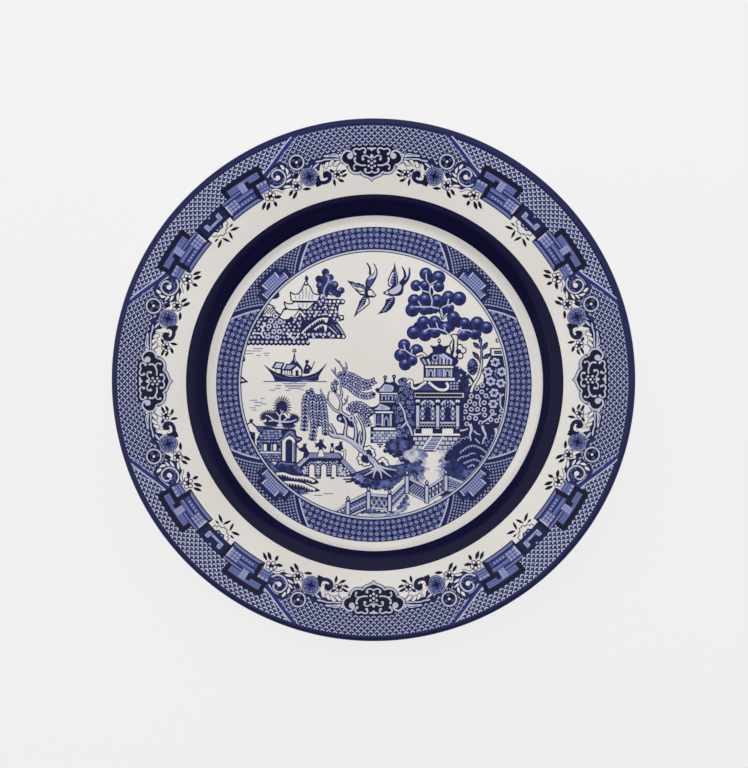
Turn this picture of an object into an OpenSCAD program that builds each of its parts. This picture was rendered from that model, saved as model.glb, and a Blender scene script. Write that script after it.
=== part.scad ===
// Transfer-printed earthenware dinner plate.
// The plate stands on its foot ring at z = 0, with its axis along +Z and its face up.
// The fired body carries thin printed films and cobalt lines, and a clear glaze covers them all.

/* [Plate] */
// Diameter of the plate over its glazed edge
plate_d = 260; // [250:1:280]
// Height from the table to the top of the glazed edge
plate_h = 23; // [20:0.5:28]
// Thickness of the fired clay under the well
floor_t = 4.6; // [4:0.1:5.5]
// Thickness of the fired clay in the rim
rim_t = 3.9; // [3.4:0.1:4.4]

/* [Well and verge] */
// Diameter at the corner where the flat well would meet the verge
well_d = 164; // [158:1:166]
// Diameter at the corner where the verge would meet the rim
shoulder_d = 178.4; // [174:0.2:184]
// Height of that upper corner over the table
shoulder_h = 15.4; // [14:0.1:17]
// Radius of the hollow curve between the well and the verge
well_round = 9; // [5:0.5:10]
// Radius of the rounded shoulder between the verge and the rim
shoulder_round = 5; // [2:0.5:6]
// Thickness of the fired clay in the verge
verge_t = 4.4; // [4:0.1:5]

/* [Foot ring] */
// Diameter of the middle of the foot ring's resting face
foot_d = 150; // [140:1:152]
// Width of the foot ring's flat resting face
foot_face_w = 2.4; // [1.8:0.1:3]
// Depth of the recess inside the foot ring
foot_recess = 2.8; // [2:0.1:3.5]
// Height over the table at which the glaze stops on both sides of the foot ring
dry_foot_h = 1; // [0.5:0.1:1.5]

/* [Decoration] */
// Thickness of the glaze over the bare clay
glaze_t = 0.3; // [0.2:0.05:0.4]
// Thickness of a printed film or cobalt line under the glaze
print_t = 0.1; // [0.05:0.05:0.15]
// Width of the line round the edge, seen from above
edge_line_w = 2.1; // [1:0.1:4]
// Inner diameter of the printed rim border
rim_print_d = 196.6; // [192:0.1:210]
// Inner diameter of the solid band over the verge
band_inner_d = 167.2; // [160:0.1:172]
// Outer diameter of the solid band over the verge
band_outer_d = 187.4; // [180:0.1:191]
// Outer diameter of the printed border in the well
well_print_d = 156.8; // [150:0.1:158]
// Outer diameter of the printed scene inside that border
scene_d = 132; // [120:0.1:140]

/* [Hidden] */
$fn = 180;
arc_steps = 10;
rim_sections = 4;
clay_colour = [0.90, 0.88, 0.84];
glaze_colour = [0.88, 0.86, 0.84, 0.35];
cobalt_solid = [0.06, 0.06, 0.18];
cobalt_print = [0.30, 0.36, 0.60];

// The bare clay's own measures, one glaze thickness inside the finished plate
edge_r = plate_d / 2 - glaze_t;
shoulder_r = shoulder_d / 2;
well_r = well_d / 2;
foot_r = foot_d / 2;
well_h = foot_recess + floor_t;
foot_flare = 1.6;
foot_round = 0.7;
foot_top_round = 0.25;
foot_top_drop = 0.15;
recess_round = 2;
heel_round = 2.2;
heel_h = foot_recess - 0.2;
lip_round = 1.6;
back_round = 12;

// Rounding the edge takes a little off its height, so the corner starts that much higher.
rough_slope = atan2(plate_h - shoulder_h, edge_r - shoulder_r);
top_h = plate_h - glaze_t + lip_round * (tan(rough_slope) + 1 / cos(rough_slope) - 1);
rim_slope = atan2(top_h - shoulder_h, edge_r - shoulder_r);
verge_slope = atan2(shoulder_h - well_h, shoulder_r - well_r);

// The backs of the rim and of the verge run parallel to the face, one wall thickness below it.
rim_drop = rim_t / cos(rim_slope);
verge_drop = verge_t / cos(verge_slope);
back_run = (verge_drop - rim_drop) / (tan(verge_slope) - tan(rim_slope));
back_corner = [shoulder_r + back_run, shoulder_h - rim_drop + back_run * tan(rim_slope)];
heel_r = shoulder_r - (shoulder_h - verge_drop - heel_h) / tan(verge_slope);

// The outline of the bare clay, as corners [radius, height, rounding]
face_corners = [
    [0, well_h, 0],
    [well_r, well_h, well_round],
    [shoulder_r, shoulder_h, shoulder_round],
    [edge_r, top_h, lip_round]
];
back_corners = [
    [edge_r, top_h - rim_drop, lip_round],
    [back_corner[0], back_corner[1], back_round],
    [heel_r, heel_h, heel_round],
    [foot_r + foot_face_w / 2 + foot_flare, heel_h - foot_top_drop, foot_top_round],
    [foot_r + foot_face_w / 2, 0, foot_round]
];
recess_corners = [
    [foot_r - foot_face_w / 2, 0, foot_round],
    [foot_r - foot_face_w / 2 - foot_flare, foot_recess, recess_round],
    [0, foot_recess, 0]
];
body_corners = concat(face_corners, back_corners, recess_corners);

function unit(v) = v / norm(v);
function flat(corner) = [corner[0], corner[1]];
function reversed(path) = [for (i = [len(path) - 1:-1:0]) path[i]];
function left_of(a, b) = let (d = unit(b - a)) [-d[1], d[0]];

// The arc that rounds corner b, between corners a and c
function corner_arc(a, b, c, r) =
    let (
        back = unit(a - b),
        on = unit(c - b),
        half = acos(back * on) / 2,
        centre = b + unit(back + on) * r / sin(half),
        first = b + back * r / tan(half) - centre,
        last = b + on * r / tan(half) - centre,
        start = atan2(first[1], first[0]),
        turn = atan2(first[0] * last[1] - first[1] * last[0], first * last)
    )
    [
        for (i = [0:arc_steps])
            let (angle = start + turn * i / arc_steps)
            centre + r * [cos(angle), sin(angle)]
    ];

// The body's outline from one corner to another, with their roundings
function outline(from, to) = [
    for (i = [from:to])
        let (corner = body_corners[i])
        each corner[2] == 0
            ? [flat(corner)]
            : corner_arc(flat(body_corners[i - 1]), flat(corner), flat(body_corners[i + 1]), corner[2])
];

// The path moved by t to the left of its direction of travel
function shifted(path, t) = [
    for (i = [0:len(path) - 1])
        let (
            before = left_of(path[max(i - 1, 0)], path[max(i, 1)]),
            after = left_of(path[min(i, len(path) - 2)], path[min(i + 1, len(path) - 1)]),
            middle = unit(before + after)
        )
        path[i] + middle * t / (middle * after)
];

face_end = len(face_corners) - 1;
back_end = face_end + len(back_corners);
recess_end = back_end + len(recess_corners);
face_path = outline(0, face_end);
outside_path = outline(0, back_end);
recess_path = outline(back_end + 1, recess_end);

// A coat of thickness t lying on a path
module coat(path, t) {
    polygon(concat(path, reversed(shifted(path, t))));
}

// The half-plane outside radius r_in and inside radius r_out
module ring_zone(r_in, r_out) {
    translate([r_in, -plate_h]) square([r_out - r_in, 3 * plate_h]);
}

// The half-plane above the line where the glaze stops on the foot ring
module over_dry_foot() {
    translate([0, dry_foot_h]) square([plate_d, 2 * plate_h]);
}

module print_section(r_in, r_out) {
    intersection() {
        coat(face_path, print_t);
        ring_zone(r_in, r_out);
    }
}

module printed_film(r_in, r_out, from = 0, sweep = 360) {
    rotate([0, 0, from]) rotate_extrude(angle = sweep) print_section(r_in, r_out);
}

module rim_print(middle) {
    sweep = 360 / rim_sections;
    color(cobalt_print)
        printed_film(rim_print_d / 2, edge_r - edge_line_w, middle - sweep / 2, sweep);
}

module plate_body() {
    color(clay_colour) rotate_extrude() polygon(outline(0, recess_end));
}

// One clear coat over the face, round the edge and down the back to the foot ring.
// It leaves room under itself for the films and lines.
module outer_glaze() {
    color(glaze_colour) rotate_extrude() difference() {
        intersection() {
            coat(outside_path, glaze_t);
            over_dry_foot();
        }
        print_section(0, well_print_d / 2);
        print_section(band_inner_d / 2, band_outer_d / 2);
        print_section(rim_print_d / 2, plate_d);
    }
}

module underside_glaze() {
    color(glaze_colour) rotate_extrude() intersection() {
        coat(recess_path, glaze_t);
        over_dry_foot();
    }
}

module edge_line() {
    color(cobalt_solid) printed_film(edge_r - edge_line_w, plate_d);
}

module verge_band() {
    color(cobalt_solid) printed_film(band_inner_d / 2, band_outer_d / 2);
}

module well_border_print() {
    color(cobalt_print) printed_film(scene_d / 2, well_print_d / 2);
}

module scene_print() {
    color(cobalt_print) printed_film(0, scene_d / 2);
}

plate_body();
outer_glaze();
underside_glaze();
edge_line();
verge_band();
well_border_print();
scene_print();
rim_print(0);  // rim_print_east
rim_print(90);  // rim_print_north
rim_print(180);  // rim_print_west
rim_print(270);  // rim_print_south
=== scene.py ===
import math

import bpy
import numpy as np
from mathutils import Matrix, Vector
from mathutils.geometry import delaunay_2d_cdt


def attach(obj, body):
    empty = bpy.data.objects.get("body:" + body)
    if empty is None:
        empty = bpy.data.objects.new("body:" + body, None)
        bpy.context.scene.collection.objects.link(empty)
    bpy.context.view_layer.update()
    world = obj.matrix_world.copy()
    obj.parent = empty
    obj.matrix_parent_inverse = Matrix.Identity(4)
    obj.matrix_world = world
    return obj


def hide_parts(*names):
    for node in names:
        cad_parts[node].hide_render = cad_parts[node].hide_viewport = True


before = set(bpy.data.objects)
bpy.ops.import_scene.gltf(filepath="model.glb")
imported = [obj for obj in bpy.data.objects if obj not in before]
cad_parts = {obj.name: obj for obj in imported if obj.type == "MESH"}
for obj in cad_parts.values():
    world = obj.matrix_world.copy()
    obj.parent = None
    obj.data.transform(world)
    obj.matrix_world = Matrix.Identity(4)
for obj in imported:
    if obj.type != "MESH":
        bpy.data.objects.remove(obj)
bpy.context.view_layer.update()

# ---------------------------------------------------------------- sizes, in millimetres
MM = 0.001
PLATE_R, PLATE_H = 130.0, 23.0
WELL_R, WELL_H, WELL_ROUND = 82.0, 7.4, 9.0
SHOULDER_R, SHOULDER_H, SHOULDER_ROUND = 89.2, 15.4, 5.0
RIM_T, VERGE_T = 3.9, 4.4
LIP_ROUND, BACK_ROUND, HEEL_ROUND = 1.6, 12.0, 2.2
FOOT_R, FOOT_FACE_W, FOOT_FLARE, FOOT_RECESS = 75.0, 2.4, 1.6, 2.8
DRY_FOOT_H = 1.0
CLAY_R, CLAY_H = PLATE_R - 0.3, PLATE_H - 0.3
GLAZE_T = 0.25        # the drawn glaze, a little thinner than the CAD's so that the ink fits in
LIFT = 0.03           # how far the ink stands off the glaze it is drawn on
EDGE_LIFT = 0.045     # the edge line is laid last, over the ends of the rim's print
SEGMENTS = 360
ARC_STEPS = 14
EDGE_STEP = 1.6       # the longest straight side in the ink's mesh
LOOSE_SPACING = 3.0   # between the points inside the ink's mesh
MERGE_DISTANCE = 1e-4

# where each print was laid, a little off the plate's middle
QUARTERS = (0, 90, 180, 270)
EIGHTH = math.radians(45)
EDGE_LINE_R = 127.3
RIM_PRINT_R = (97, EDGE_LINE_R + 1)
RIM_CENTRE = (-0.42, -0.52)
RIM_TURN = -0.25
BAND_R = (83.85, 93.9)
BAND_CENTRE = (0.6, -1.35)
WELL_PRINT_R = (65, 79)
WELL_CENTRE = (0.2, -1.85)
WELL_SCALE = 1.006
SCENE_R = 66
SCENE_CENTRE = (-0.23, -1.89)
SCENE_TURN = math.radians(-0.17)


# ---------------------------------------------------------------- drawing kit
PAPER, MIST, PALE, LIGHT, BLUE, DUSK, COBALT, NAVY, BLACK, SOFT, WASH, DEEP, BAND, EDGE = range(14)
WASHES = (SOFT, WASH, DEEP)
STEP = 0.7


def between(p, q, r, s, t):
    """One coordinate on the smooth run from q to r, with p before them and s after them."""
    square = 2 * p - 5 * q + 4 * r - s
    cube = 3 * q - p - 3 * r + s
    return 0.5 * (2 * q + (r - p) * t + square * t * t + cube * t ** 3)


def curve(points, closed=False):
    """A smooth run of points through the given ones."""
    n = len(points)
    out = []
    for i in range(n if closed else n - 1):
        around = [i + k if not closed else (i + k) % n for k in (-1, 0, 1, 2)]
        a, b, c, d = (points[min(max(k, 0), n - 1)] for k in around)
        steps = max(1, min(8, round(math.dist(b, c) / STEP)))
        for s in range(steps):
            out.append(tuple(between(*four, s / steps) for four in zip(a, b, c, d)))
    if not closed:
        out.append(tuple(points[-1]))
    return out


def arc(cx, cy, rx, ry=None, start=0, end=360, n=None, tilt=0):
    """Points on an ellipse from one angle to another, in degrees."""
    ry = rx if ry is None else ry
    full = abs(end - start) >= 360
    n = n or max(6, min(28, round(abs(end - start) / 360 * (8 + 4 * max(rx, ry)))))
    ct, st = math.cos(math.radians(tilt)), math.sin(math.radians(tilt))
    out = []
    for i in range(n if full else n + 1):
        a = math.radians(start + (end - start) * i / n)
        x, y = rx * math.cos(a), ry * math.sin(a)
        out.append((cx + x * ct - y * st, cy + x * st + y * ct))
    return out


def ribbon(points, width, tip=None, closed=False):
    """The outline of a stroke along points. tip is the width at its far end."""
    n = len(points)
    tip = width if tip is None else tip
    left, right = [], []
    for i, (x, y) in enumerate(points):
        a = points[i - 1] if (closed or i) else points[0]
        b = points[(i + 1) % n] if (closed or i < n - 1) else points[-1]
        dx, dy = b[0] - a[0], b[1] - a[1]
        size = math.hypot(dx, dy) or 1
        half = (width + (tip - width) * i / max(n - 1, 1)) / 2
        nx, ny = -dy / size * half, dx / size * half
        left.append((x + nx, y + ny))
        right.append((x - nx, y - ny))
    if closed:
        return left + left[:1] + right[:1] + right[:0:-1]
    return left + right[::-1]


def polar(x, y, r, degrees, ry=None):
    """The point at an angle on a circle, or on an ellipse, round x, y."""
    a = math.radians(degrees)
    return x + r * math.cos(a), y + (r if ry is None else ry) * math.sin(a)


def flip(points, side, middle=0):
    """The points as they are, or mirrored when side is -1, from a middle line."""
    return [(middle + side * u, v) for u, v in points]


class Drawing:
    """Areas of flat ink. A later area covers the ones before it."""

    def __init__(self):
        self.shapes = []

    def area(self, ink, *outlines):
        for points in outlines:
            self.shapes.append((ink, list(points)))

    def blob(self, ink, *outlines):
        """Areas with a smooth outline through the points."""
        for points in outlines:
            self.area(ink, curve(points, True))

    def dot(self, ink, x, y, r, ry=None, tilt=0):
        self.area(ink, arc(x, y, r, ry, tilt=tilt))

    def dots(self, ink, *places):
        for place in places:
            self.dot(ink, *place)

    def disc(self, x, y, *layers):
        """Dots round one middle, each with its ink and radius."""
        for ink, r in layers:
            self.dot(ink, x, y, r)

    def box(self, ink, x0, y0, x1, y1):
        self.area(ink, [(x0, y0), (x1, y0), (x1, y1), (x0, y1)])

    def boxes(self, ink, *corners):
        for box in corners:
            self.box(ink, *box)

    def bricks(self, pick, x, y, across, down, pitch, drop, width, height, shift=0, lean=0, keep=None):
        """Courses of bricks from the top left. pick says the ink of brick i in course j."""
        for j in range(down):
            for i in range(across):
                left = x + pitch * i + shift * (j % 2) - lean * j
                low = y - drop * j
                if keep is None or keep(left, j):
                    self.box(pick(i, j), left, low, left + width, low + height)

    def diamond(self, ink, x, y, w, h):
        self.area(ink, [(x - w, y), (x, y + h), (x + w, y), (x, y - h)])

    def line(self, ink, width, *paths, tip=None, closed=False):
        """Smooth strokes through the points of each path."""
        for points in paths:
            self.area(ink, ribbon(curve(points, closed), width, tip, closed))

    def edged(self, wide, narrow, *paths, ink=MIST, tips=(None, None)):
        """Dark strokes, each with a narrower one of another ink on it."""
        for points in paths:
            self.line(NAVY, wide, points, tip=tips[0])
            self.line(ink, narrow, points, tip=tips[1])

    def rule(self, ink, width, *points):
        """A stroke with straight runs from point to point."""
        self.area(ink, ribbon(points, width))

    def rules(self, ink, width, *paths):
        for points in paths:
            self.rule(ink, width, *points)

    def hatch(self, ink, width, n, start, step, end, end_step=None):
        """Straight strokes side by side. Each starts and ends a step further on than the last."""
        for k in range(n):
            pairs = ((start, step), (end, end_step or step))
            self.rule(ink, width, *[(x + dx * k, y + dy * k) for (x, y), (dx, dy) in pairs])

    def leaf(self, ink, x0, y0, x1, y1, width):
        """A pointed oval from one end to the other."""
        mx, my = (x0 + x1) / 2, (y0 + y1) / 2
        size = math.dist((x0, y0), (x1, y1))
        nx, ny = -(y1 - y0) / size * width / 2, (x1 - x0) / size * width / 2
        self.blob(ink, [(x0, y0), (mx + nx, my + ny), (x1, y1), (mx - nx, my - ny)])


# ---------------------------------------------------------------- the rim border
HALF_TURN = 89.77     # length of half a repeat, round the circle of radius 114.3
LATTICE_PITCH = HALF_TURN / 31


def trellis_cell(d, u, w, v, weight):
    """A pale chevron that points inward, with the thin lines that tie it to the two above."""
    for side in (-1, 1):
        d.rule(LIGHT, 0.2, (u, v - 0.4), (u + side * (w - u), v + 1.05))
        d.rule(MIST, weight, (u - side * 0.12, v - 0.5), (u + side * 0.95, v + 0.52))
    d.dot(BLUE, u, v + 0.75, 0.34, 0.26)


def rim_lattice(d):
    """The chevron lattice, deeper between the medallions, and the row of points along the edge."""
    d.area(DUSK, [
        (-2, 127.3), (-2, 116.8), (9.2, 116.8), (10.2, 115), (16.2, 113.9), (20, 113.9), (24, 113.7),
        (29.4, 112.8), (31.8, 110.8), (36, 111), (39.8, 108), (46, 107.6), (46, 112), (48, 116),
        (56, 113), (56, 120), (77, 120), (77, 115), (92, 115), (92, 127.3)])
    for row in range(13):
        v = 126.2 - 1.475 * row
        for k in range(-1, 34) if row < 8 else range(14, 29):
            u = HALF_TURN - LATTICE_PITCH * (k + 0.5 * (row % 2))
            heavy = row < 8 and v > 127.4 - (u - 36.8) * 0.605
            if row < 8 or (v > 112 - max(0, u - 36) * 0.75 and (u > 31 or v > 114)):
                trellis_cell(d, u, u + LATTICE_PITCH / 2, v, 0.6 if heavy else 0.46)
    d.box(NAVY, -2, 127.1, 92, 128.2)
    for k in range(-1, 20):
        u = HALF_TURN - LATTICE_PITCH * (k + 0.5)
        if u > 38:
            d.area(NAVY, [(u - 0.9, 127.2), (u + 0.9, 127.2), (u, 126.5)])


def divider(d):
    white = [
        (36.3, 127.7), (40, 125.3), (43, 123.3), (45.5, 121.7), (49, 119.5), (52.3, 117.7), (55.8, 116.2)]
    d.area(COBALT, [
        (33, 127.6)] + white[:1] + white + [(56, 113), (52.5, 115.3), (46.6, 118.6), (40, 123),
        (36, 126)])
    d.line(PALE, 0.3, [(32.8, 127.3), (36, 125.2), (40, 122.4), (46, 118.7), (51, 116)])
    d.line(MIST, 0.6, white)


def cartouche(d):
    """The dark medallion with its scrolls. What lies at u < 0 is cut off, and the mirror adds it."""
    shoulder = [(0, 117), (9, 117), (9.9, 116), (12.5, 115.9), (15.3, 114.2), (16.3, 111.5), (15.8, 109)]
    hem = [
        (13.6, 107.6), (13.0, 106.2), (12, 104.6), (10.5, 103.4), (8.5, 102.9), (6.3, 102.8),
        (4.2, 101.5), (2.2, 100.9), (1, 100.2), (0, 99.2)]
    dark_hem = [
        (13.4, 107.9), (12.6, 106.2), (11.7, 104.9), (10.4, 103.8), (8.6, 103.3), (6.6, 103.3),
        (4.4, 102.2), (2.2, 101.5), (0, 100.7)]
    d.area(MIST, shoulder + hem + flip((shoulder + hem)[::-1], -1))
    d.rule(DUSK, 0.4, *hem)
    d.area(BLACK, shoulder + dark_hem + flip((shoulder + dark_hem)[::-1], -1))
    for side in (1, -1):
        d.rule(
            MIST, 0.85, *flip([(12.0, 107.4), (12.2, 106.5), (11.5, 105.2), (10.3, 104.2), (8.8, 103.75),
            (7.2, 103.8), (6.1, 104.2), (5.4, 103.5), (4.5, 102.6), (3, 101.9), (1.6, 101.4), (0, 100.9)],
            side))
    # the big scroll at its side
    d.line(MIST, 0.9, [
        (9.7, 112.6), (10.4, 114.3), (12, 115.1), (13.7, 114.5), (15.2, 113), (15.6, 111.2),
        (15.1, 109.7), (13.8, 108.6), (12.2, 107.9)])
    d.dot(MIST, 11.0, 112.3, 1.5)
    # top band with its notch
    d.area(MIST, [
        (-2.3, 116), (2.3, 116), (2.1, 115.3), (1, 115.1), (0, 114.1), (-1, 115.1), (-2.1, 115.3)])
    # upper scrolls
    d.line(MIST, 0.75, [
        (3.5, 113.6), (2.9, 114.6), (3.6, 115.7), (4.9, 115.8), (6, 115.2), (7.2, 115.7), (8.3, 115.6),
        (9.1, 114.9), (9.1, 114.1), (8.4, 113.2)])
    d.dots(MIST, (3.5, 113.7, 0.7), (8.3, 113.1, 0.7))
    # middle
    d.blob(MIST, [(-0.9, 111.9), (0, 112.9), (0.9, 111.9), (0.8, 110.9), (0, 110.9), (-0.8, 110.9)])
    for side in (-1, 1):
        d.line(
            MIST, 0.65, flip([(0, 111.5), (1.2, 111), (2.4, 111.9), (3.8, 112.1), (4.8, 111.6),
            (4.8, 110.8)], side))
        d.dots(MIST, (side * 4.5, 110.4, 0.72), (side * 1.6, 109.3, 0.66), (side * 1.6, 107.0, 0.62))
    d.dots(MIST, (0, 110.2, 0.42), (0, 108.3, 0.72), (0, 106.1, 0.72))
    # lower scrolls
    d.line(MIST, 0.7, [
        (3, 107.4), (5, 107.3), (6.5, 107.7), (8, 108.5), (8.8, 109.6), (8.8, 110.7)], tip=0.9)
    d.dot(MIST, 8.6, 111.0, 0.62)
    d.line(MIST, 0.6, [(7.5, 108), (8.8, 107.9), (9.6, 107.2), (9.7, 106.4)])
    d.dot(MIST, 9.3, 105.9, 0.62)
    for side in (-1, 1):
        d.line(MIST, 0.7, flip([(0, 104.4), (1, 103.7), (2.3, 103.6), (3.5, 104.1), (4.0, 104.8)], side))
        d.dot(MIST, side * 3.5, 105.2, 0.72)
    d.area(MIST, [(-0.5, 104), (0, 105.1), (0.5, 104)])


def outlined(d, ink, points, rim=0.7):
    """A pale shape with a dark line round it."""
    d.line(NAVY, rim, points, closed=True)
    d.blob(ink, points)


def spray(d):
    d.blob(NAVY, [
        (16.2, 111), (16.8, 114.3), (19.5, 115.3), (24.4, 115.1), (26.6, 113.4), (29.4, 113.3),
        (31.8, 109.4), (29.6, 109.4), (28.6, 107.8), (26.4, 110), (22, 110.8), (18, 110.6)])
    outlined(d, MIST, [
        (16.4, 112.3), (17.3, 114), (19.2, 114.7), (20.9, 114.5), (23.8, 114.6), (24.5, 114.2),
        (23.1, 113.6), (20.8, 113.3), (18.5, 112.8)])
    d.line(NAVY, 0.3, [(18, 113.6), (19.6, 114.1), (21.8, 114)])
    outlined(d, MIST, [
        (16.3, 111.7), (21, 112.4), (23.9, 112.9), (25.4, 112.6), (28, 112.9), (29, 112.6), (27.8, 112),
        (25.6, 112), (23.8, 112.2), (21.1, 111.8), (16.7, 111.1)])
    outlined(d, MIST, [
        (27.2, 111.4), (29, 111.3), (30.8, 110.2), (31.4, 109.6), (29.7, 109.8), (28.2, 110.5)])
    outlined(d, PAPER, [
        (26, 110.8), (27.1, 109.8), (27.6, 108.4), (28.7, 107.2), (28.3, 105.4), (27.4, 104.2),
        (26.2, 105.2), (26.3, 106.9), (25.5, 108.4), (26, 109.6)], 0.5)
    outlined(d, PAPER, [
        (22.8, 111.2), (24.2, 110.5), (24.8, 109.3), (24, 108.2), (23, 109.2), (21.9, 110.7)])
    outlined(d, PAPER, [
        (20.4, 111.6), (21.6, 110.9), (22.7, 109.2), (21.7, 108.9), (20.2, 110.4), (19.4, 111.2)])
    outlined(d, PAPER, [
        (17.5, 110.9), (19, 110.2), (20.2, 108.7), (18.5, 108.7), (16.9, 109.9), (16.5, 110.6)])
    # stem of the first flower
    d.line(LIGHT, 0.45, [(15.8, 110), (17.4, 108.8), (18.6, 107.4), (19, 105.8)])


def flower(d, u, v, petals, size, heart=1.3):
    """A few white petals with a dark edge, round a dark heart."""
    d.dots(DUSK, *[(a, b, size + 0.45) for a, b in petals])
    d.dot(BLACK, u, v, heart)
    d.dots(PAPER, *[(a, b, size) for a, b in petals])


def flowers(d):
    for leaf in (
            (13.5, 105.8, 17.3, 104.8, 1.1), (13.4, 103.8, 16.6, 102.6, 1.1),
            (15.6, 100.2, 19, 101.6, 1.2), (21.3, 98.6, 21.2, 102.4, 1.3),
            (20.5, 105.4, 22.6, 107.3, 1.2), (35, 100.5, 39.6, 101.5, 1.25),
            (42.9, 101.5, 46.8, 98.8, 1.4), (44.7, 103, 48.2, 100.9, 1.3),
            (39.2, 110.2, 41.4, 107.2, 1.5), (51.8, 102.4, 56, 103.4, 1.4), (57.1, 98.9, 56.8, 102, 1.5),
            (59.1, 102.6, 63.1, 99.8, 1.5), (61.1, 103.8, 65.2, 101.2, 1.3)):
        d.leaf(BLACK, *leaf[:4], leaf[4] * 1.3)
    flower(d, 18.7, 104.2, [(17.8, 105.3), (19.7, 105.5), (20.4, 103.8), (18.7, 102.8), (17, 103.9)], 0.6)
    d.line(LIGHT, 0.35, [
        (39.4, 106.6), (38.8, 104.4), (39.6, 102.6), (41, 101.8), (43.6, 101.7), (45, 103.2)])
    flower(d, 42.1, 104.2, [
        (42.1, 105.6), (43.9, 104.6), (42.9, 102.8), (40.8, 102.8), (40.1, 104.8)], 0.62)
    d.rule(LIGHT, 0.5, (55.2, 104), (55.4, 107.9), (58, 108.3), (60.9, 107.8), (61.2, 105.4))
    flower(d, 57.5, 105.1, [
        (56.8, 106.4), (58.9, 106.4), (59.6, 104.6), (57.4, 103.4), (55.5, 104.8)], 0.8, 1.5)


def comma_scroll(d):
    d.line(NAVY, 1.9, [
        (23.4, 105.8), (22.9, 103.9), (24, 102.2), (26.2, 101.6), (28.6, 101.8), (30.4, 101.2)])
    d.dot(NAVY, 24.7, 104.9, 2.1)
    d.dot(BLACK, 25.1, 105.2, 1.6)
    d.area(BLACK, [
        (28.2, 105.2), (29.6, 106), (30.8, 103.6), (31.9, 102), (31.6, 100.2), (29.6, 100.8), (28, 102.4),
        (28.6, 103.6)])
    d.line(PAPER, 0.85, [(24.7, 103.5), (26.3, 102.9), (28, 103.4), (28.3, 104.9)])
    d.line(PALE, 0.3, [(22, 101.8), (21.6, 103.6), (21.9, 105.4), (23.2, 107.1), (25.4, 107.3)])


def star_medallion(d):
    u, v = 34.0, 106.3
    d.disc(u, v, (NAVY, 4.8), (PALE, 4.4), (NAVY, 4.0), (BLUE, 3.7), (NAVY, 2.6), (BLUE, 2.3))
    for k in range(16):
        d.rule(PALE if k % 2 else LIGHT, 0.45, polar(u, v, 2.7, 22.5 * k), polar(u, v, 3.6, 22.5 * k))
    d.area(BLACK, [polar(u, v, 1.1 if k % 2 else 2.35, 45 * k) for k in range(8)])


def ring_medallion(d):
    u, v = 37.9, 115.0
    d.disc(u, v, (DUSK, 4.4), (MIST, 3.9), (BLACK, 3.15))
    d.dots(BLUE, (36, 115.5, 0.85), (39.3, 116.4, 0.85), (38, 112.9, 0.85))
    d.dot(PAPER, u, v, 0.68)


def right_spray(d):
    """The leaves, the spiral rosette and the scroll between the ring medallion and the fret."""
    d.blob(DUSK, [
        (42, 112), (43.4, 116), (45.6, 118), (49, 117.6), (56, 112.6), (55.4, 108.6), (52.6, 105.8),
        (48.6, 104.8), (44.4, 105.4), (42.4, 108.4)])
    outlined(d, PAPER, [(45.9, 116.6), (44.9, 116), (44.4, 114.5), (45.2, 113.7), (45.9, 114.8)])
    outlined(d, PAPER, [(44, 114.3), (43.3, 113.3), (43.2, 112.1), (44.3, 110.8), (44.5, 112.2)])
    for x0, y0, x1, y1, width in (
            (46.6, 109.2, 42.2, 110.7, 1.1), (46.9, 107.6, 42.9, 108.3, 1.2),
            (49, 106.1, 44.7, 104.9, 1.3)):
        d.leaf(NAVY, x0, y0, x1 - 0.5, y1, width + 0.8)
        d.leaf(PAPER, x0, y0, x1, y1, width)
    d.edged(1.5, 0.7, [(47.8, 116), (49.8, 115.9), (51.9, 115), (54.2, 113.8)])
    # the spiral rosette
    d.dot(NAVY, 49.6, 111.4, 4.3)
    d.edged(1.7, 0.85, [
        (49.8, 110.4), (51, 111.2), (51.9, 112.6), (51.3, 114.3), (49.4, 115.2), (47.3, 114.6),
        (46, 112.6), (45.8, 110.2), (47.4, 108.1), (50.2, 107.2), (52.8, 107.8), (54.7, 109.8)])
    d.dot(PAPER, 49.5, 111.4, 1.2)
    d.dots(LIGHT, *[(*polar(49.6, 111.1, 2.6, a), 0.42) for a in range(-150, 60, 30)])
    d.dots(BLUE, *[(*place, 0.55) for place in ((53.4, 111.6), (53, 109.8), (51.2, 109), (49.4, 113.4))])
    # the scroll under it
    d.edged(1.9, 1.1, [
        (56.6, 106.9), (54.4, 107), (52.4, 106.4), (51.3, 105.1), (49.6, 104.2)], ink=PAPER, tips=(1.2,
        0.6))


def grid(d, u0, u1, v0, v1, across, down, ground, ink, gap=0.28):
    """A panel of squares on a darker ground."""
    d.box(ground, u0, v0, u1, v1)
    w, h = (u1 - u0) / across, (v1 - v0) / down
    half = gap / 2
    for i in range(across):
        for j in range(down):
            d.box(
                ink, u0 + w * i + half, v0 + h * j + half, u0 + w * (i + 1) - half,
                v0 + h * (j + 1) - half)


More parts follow.
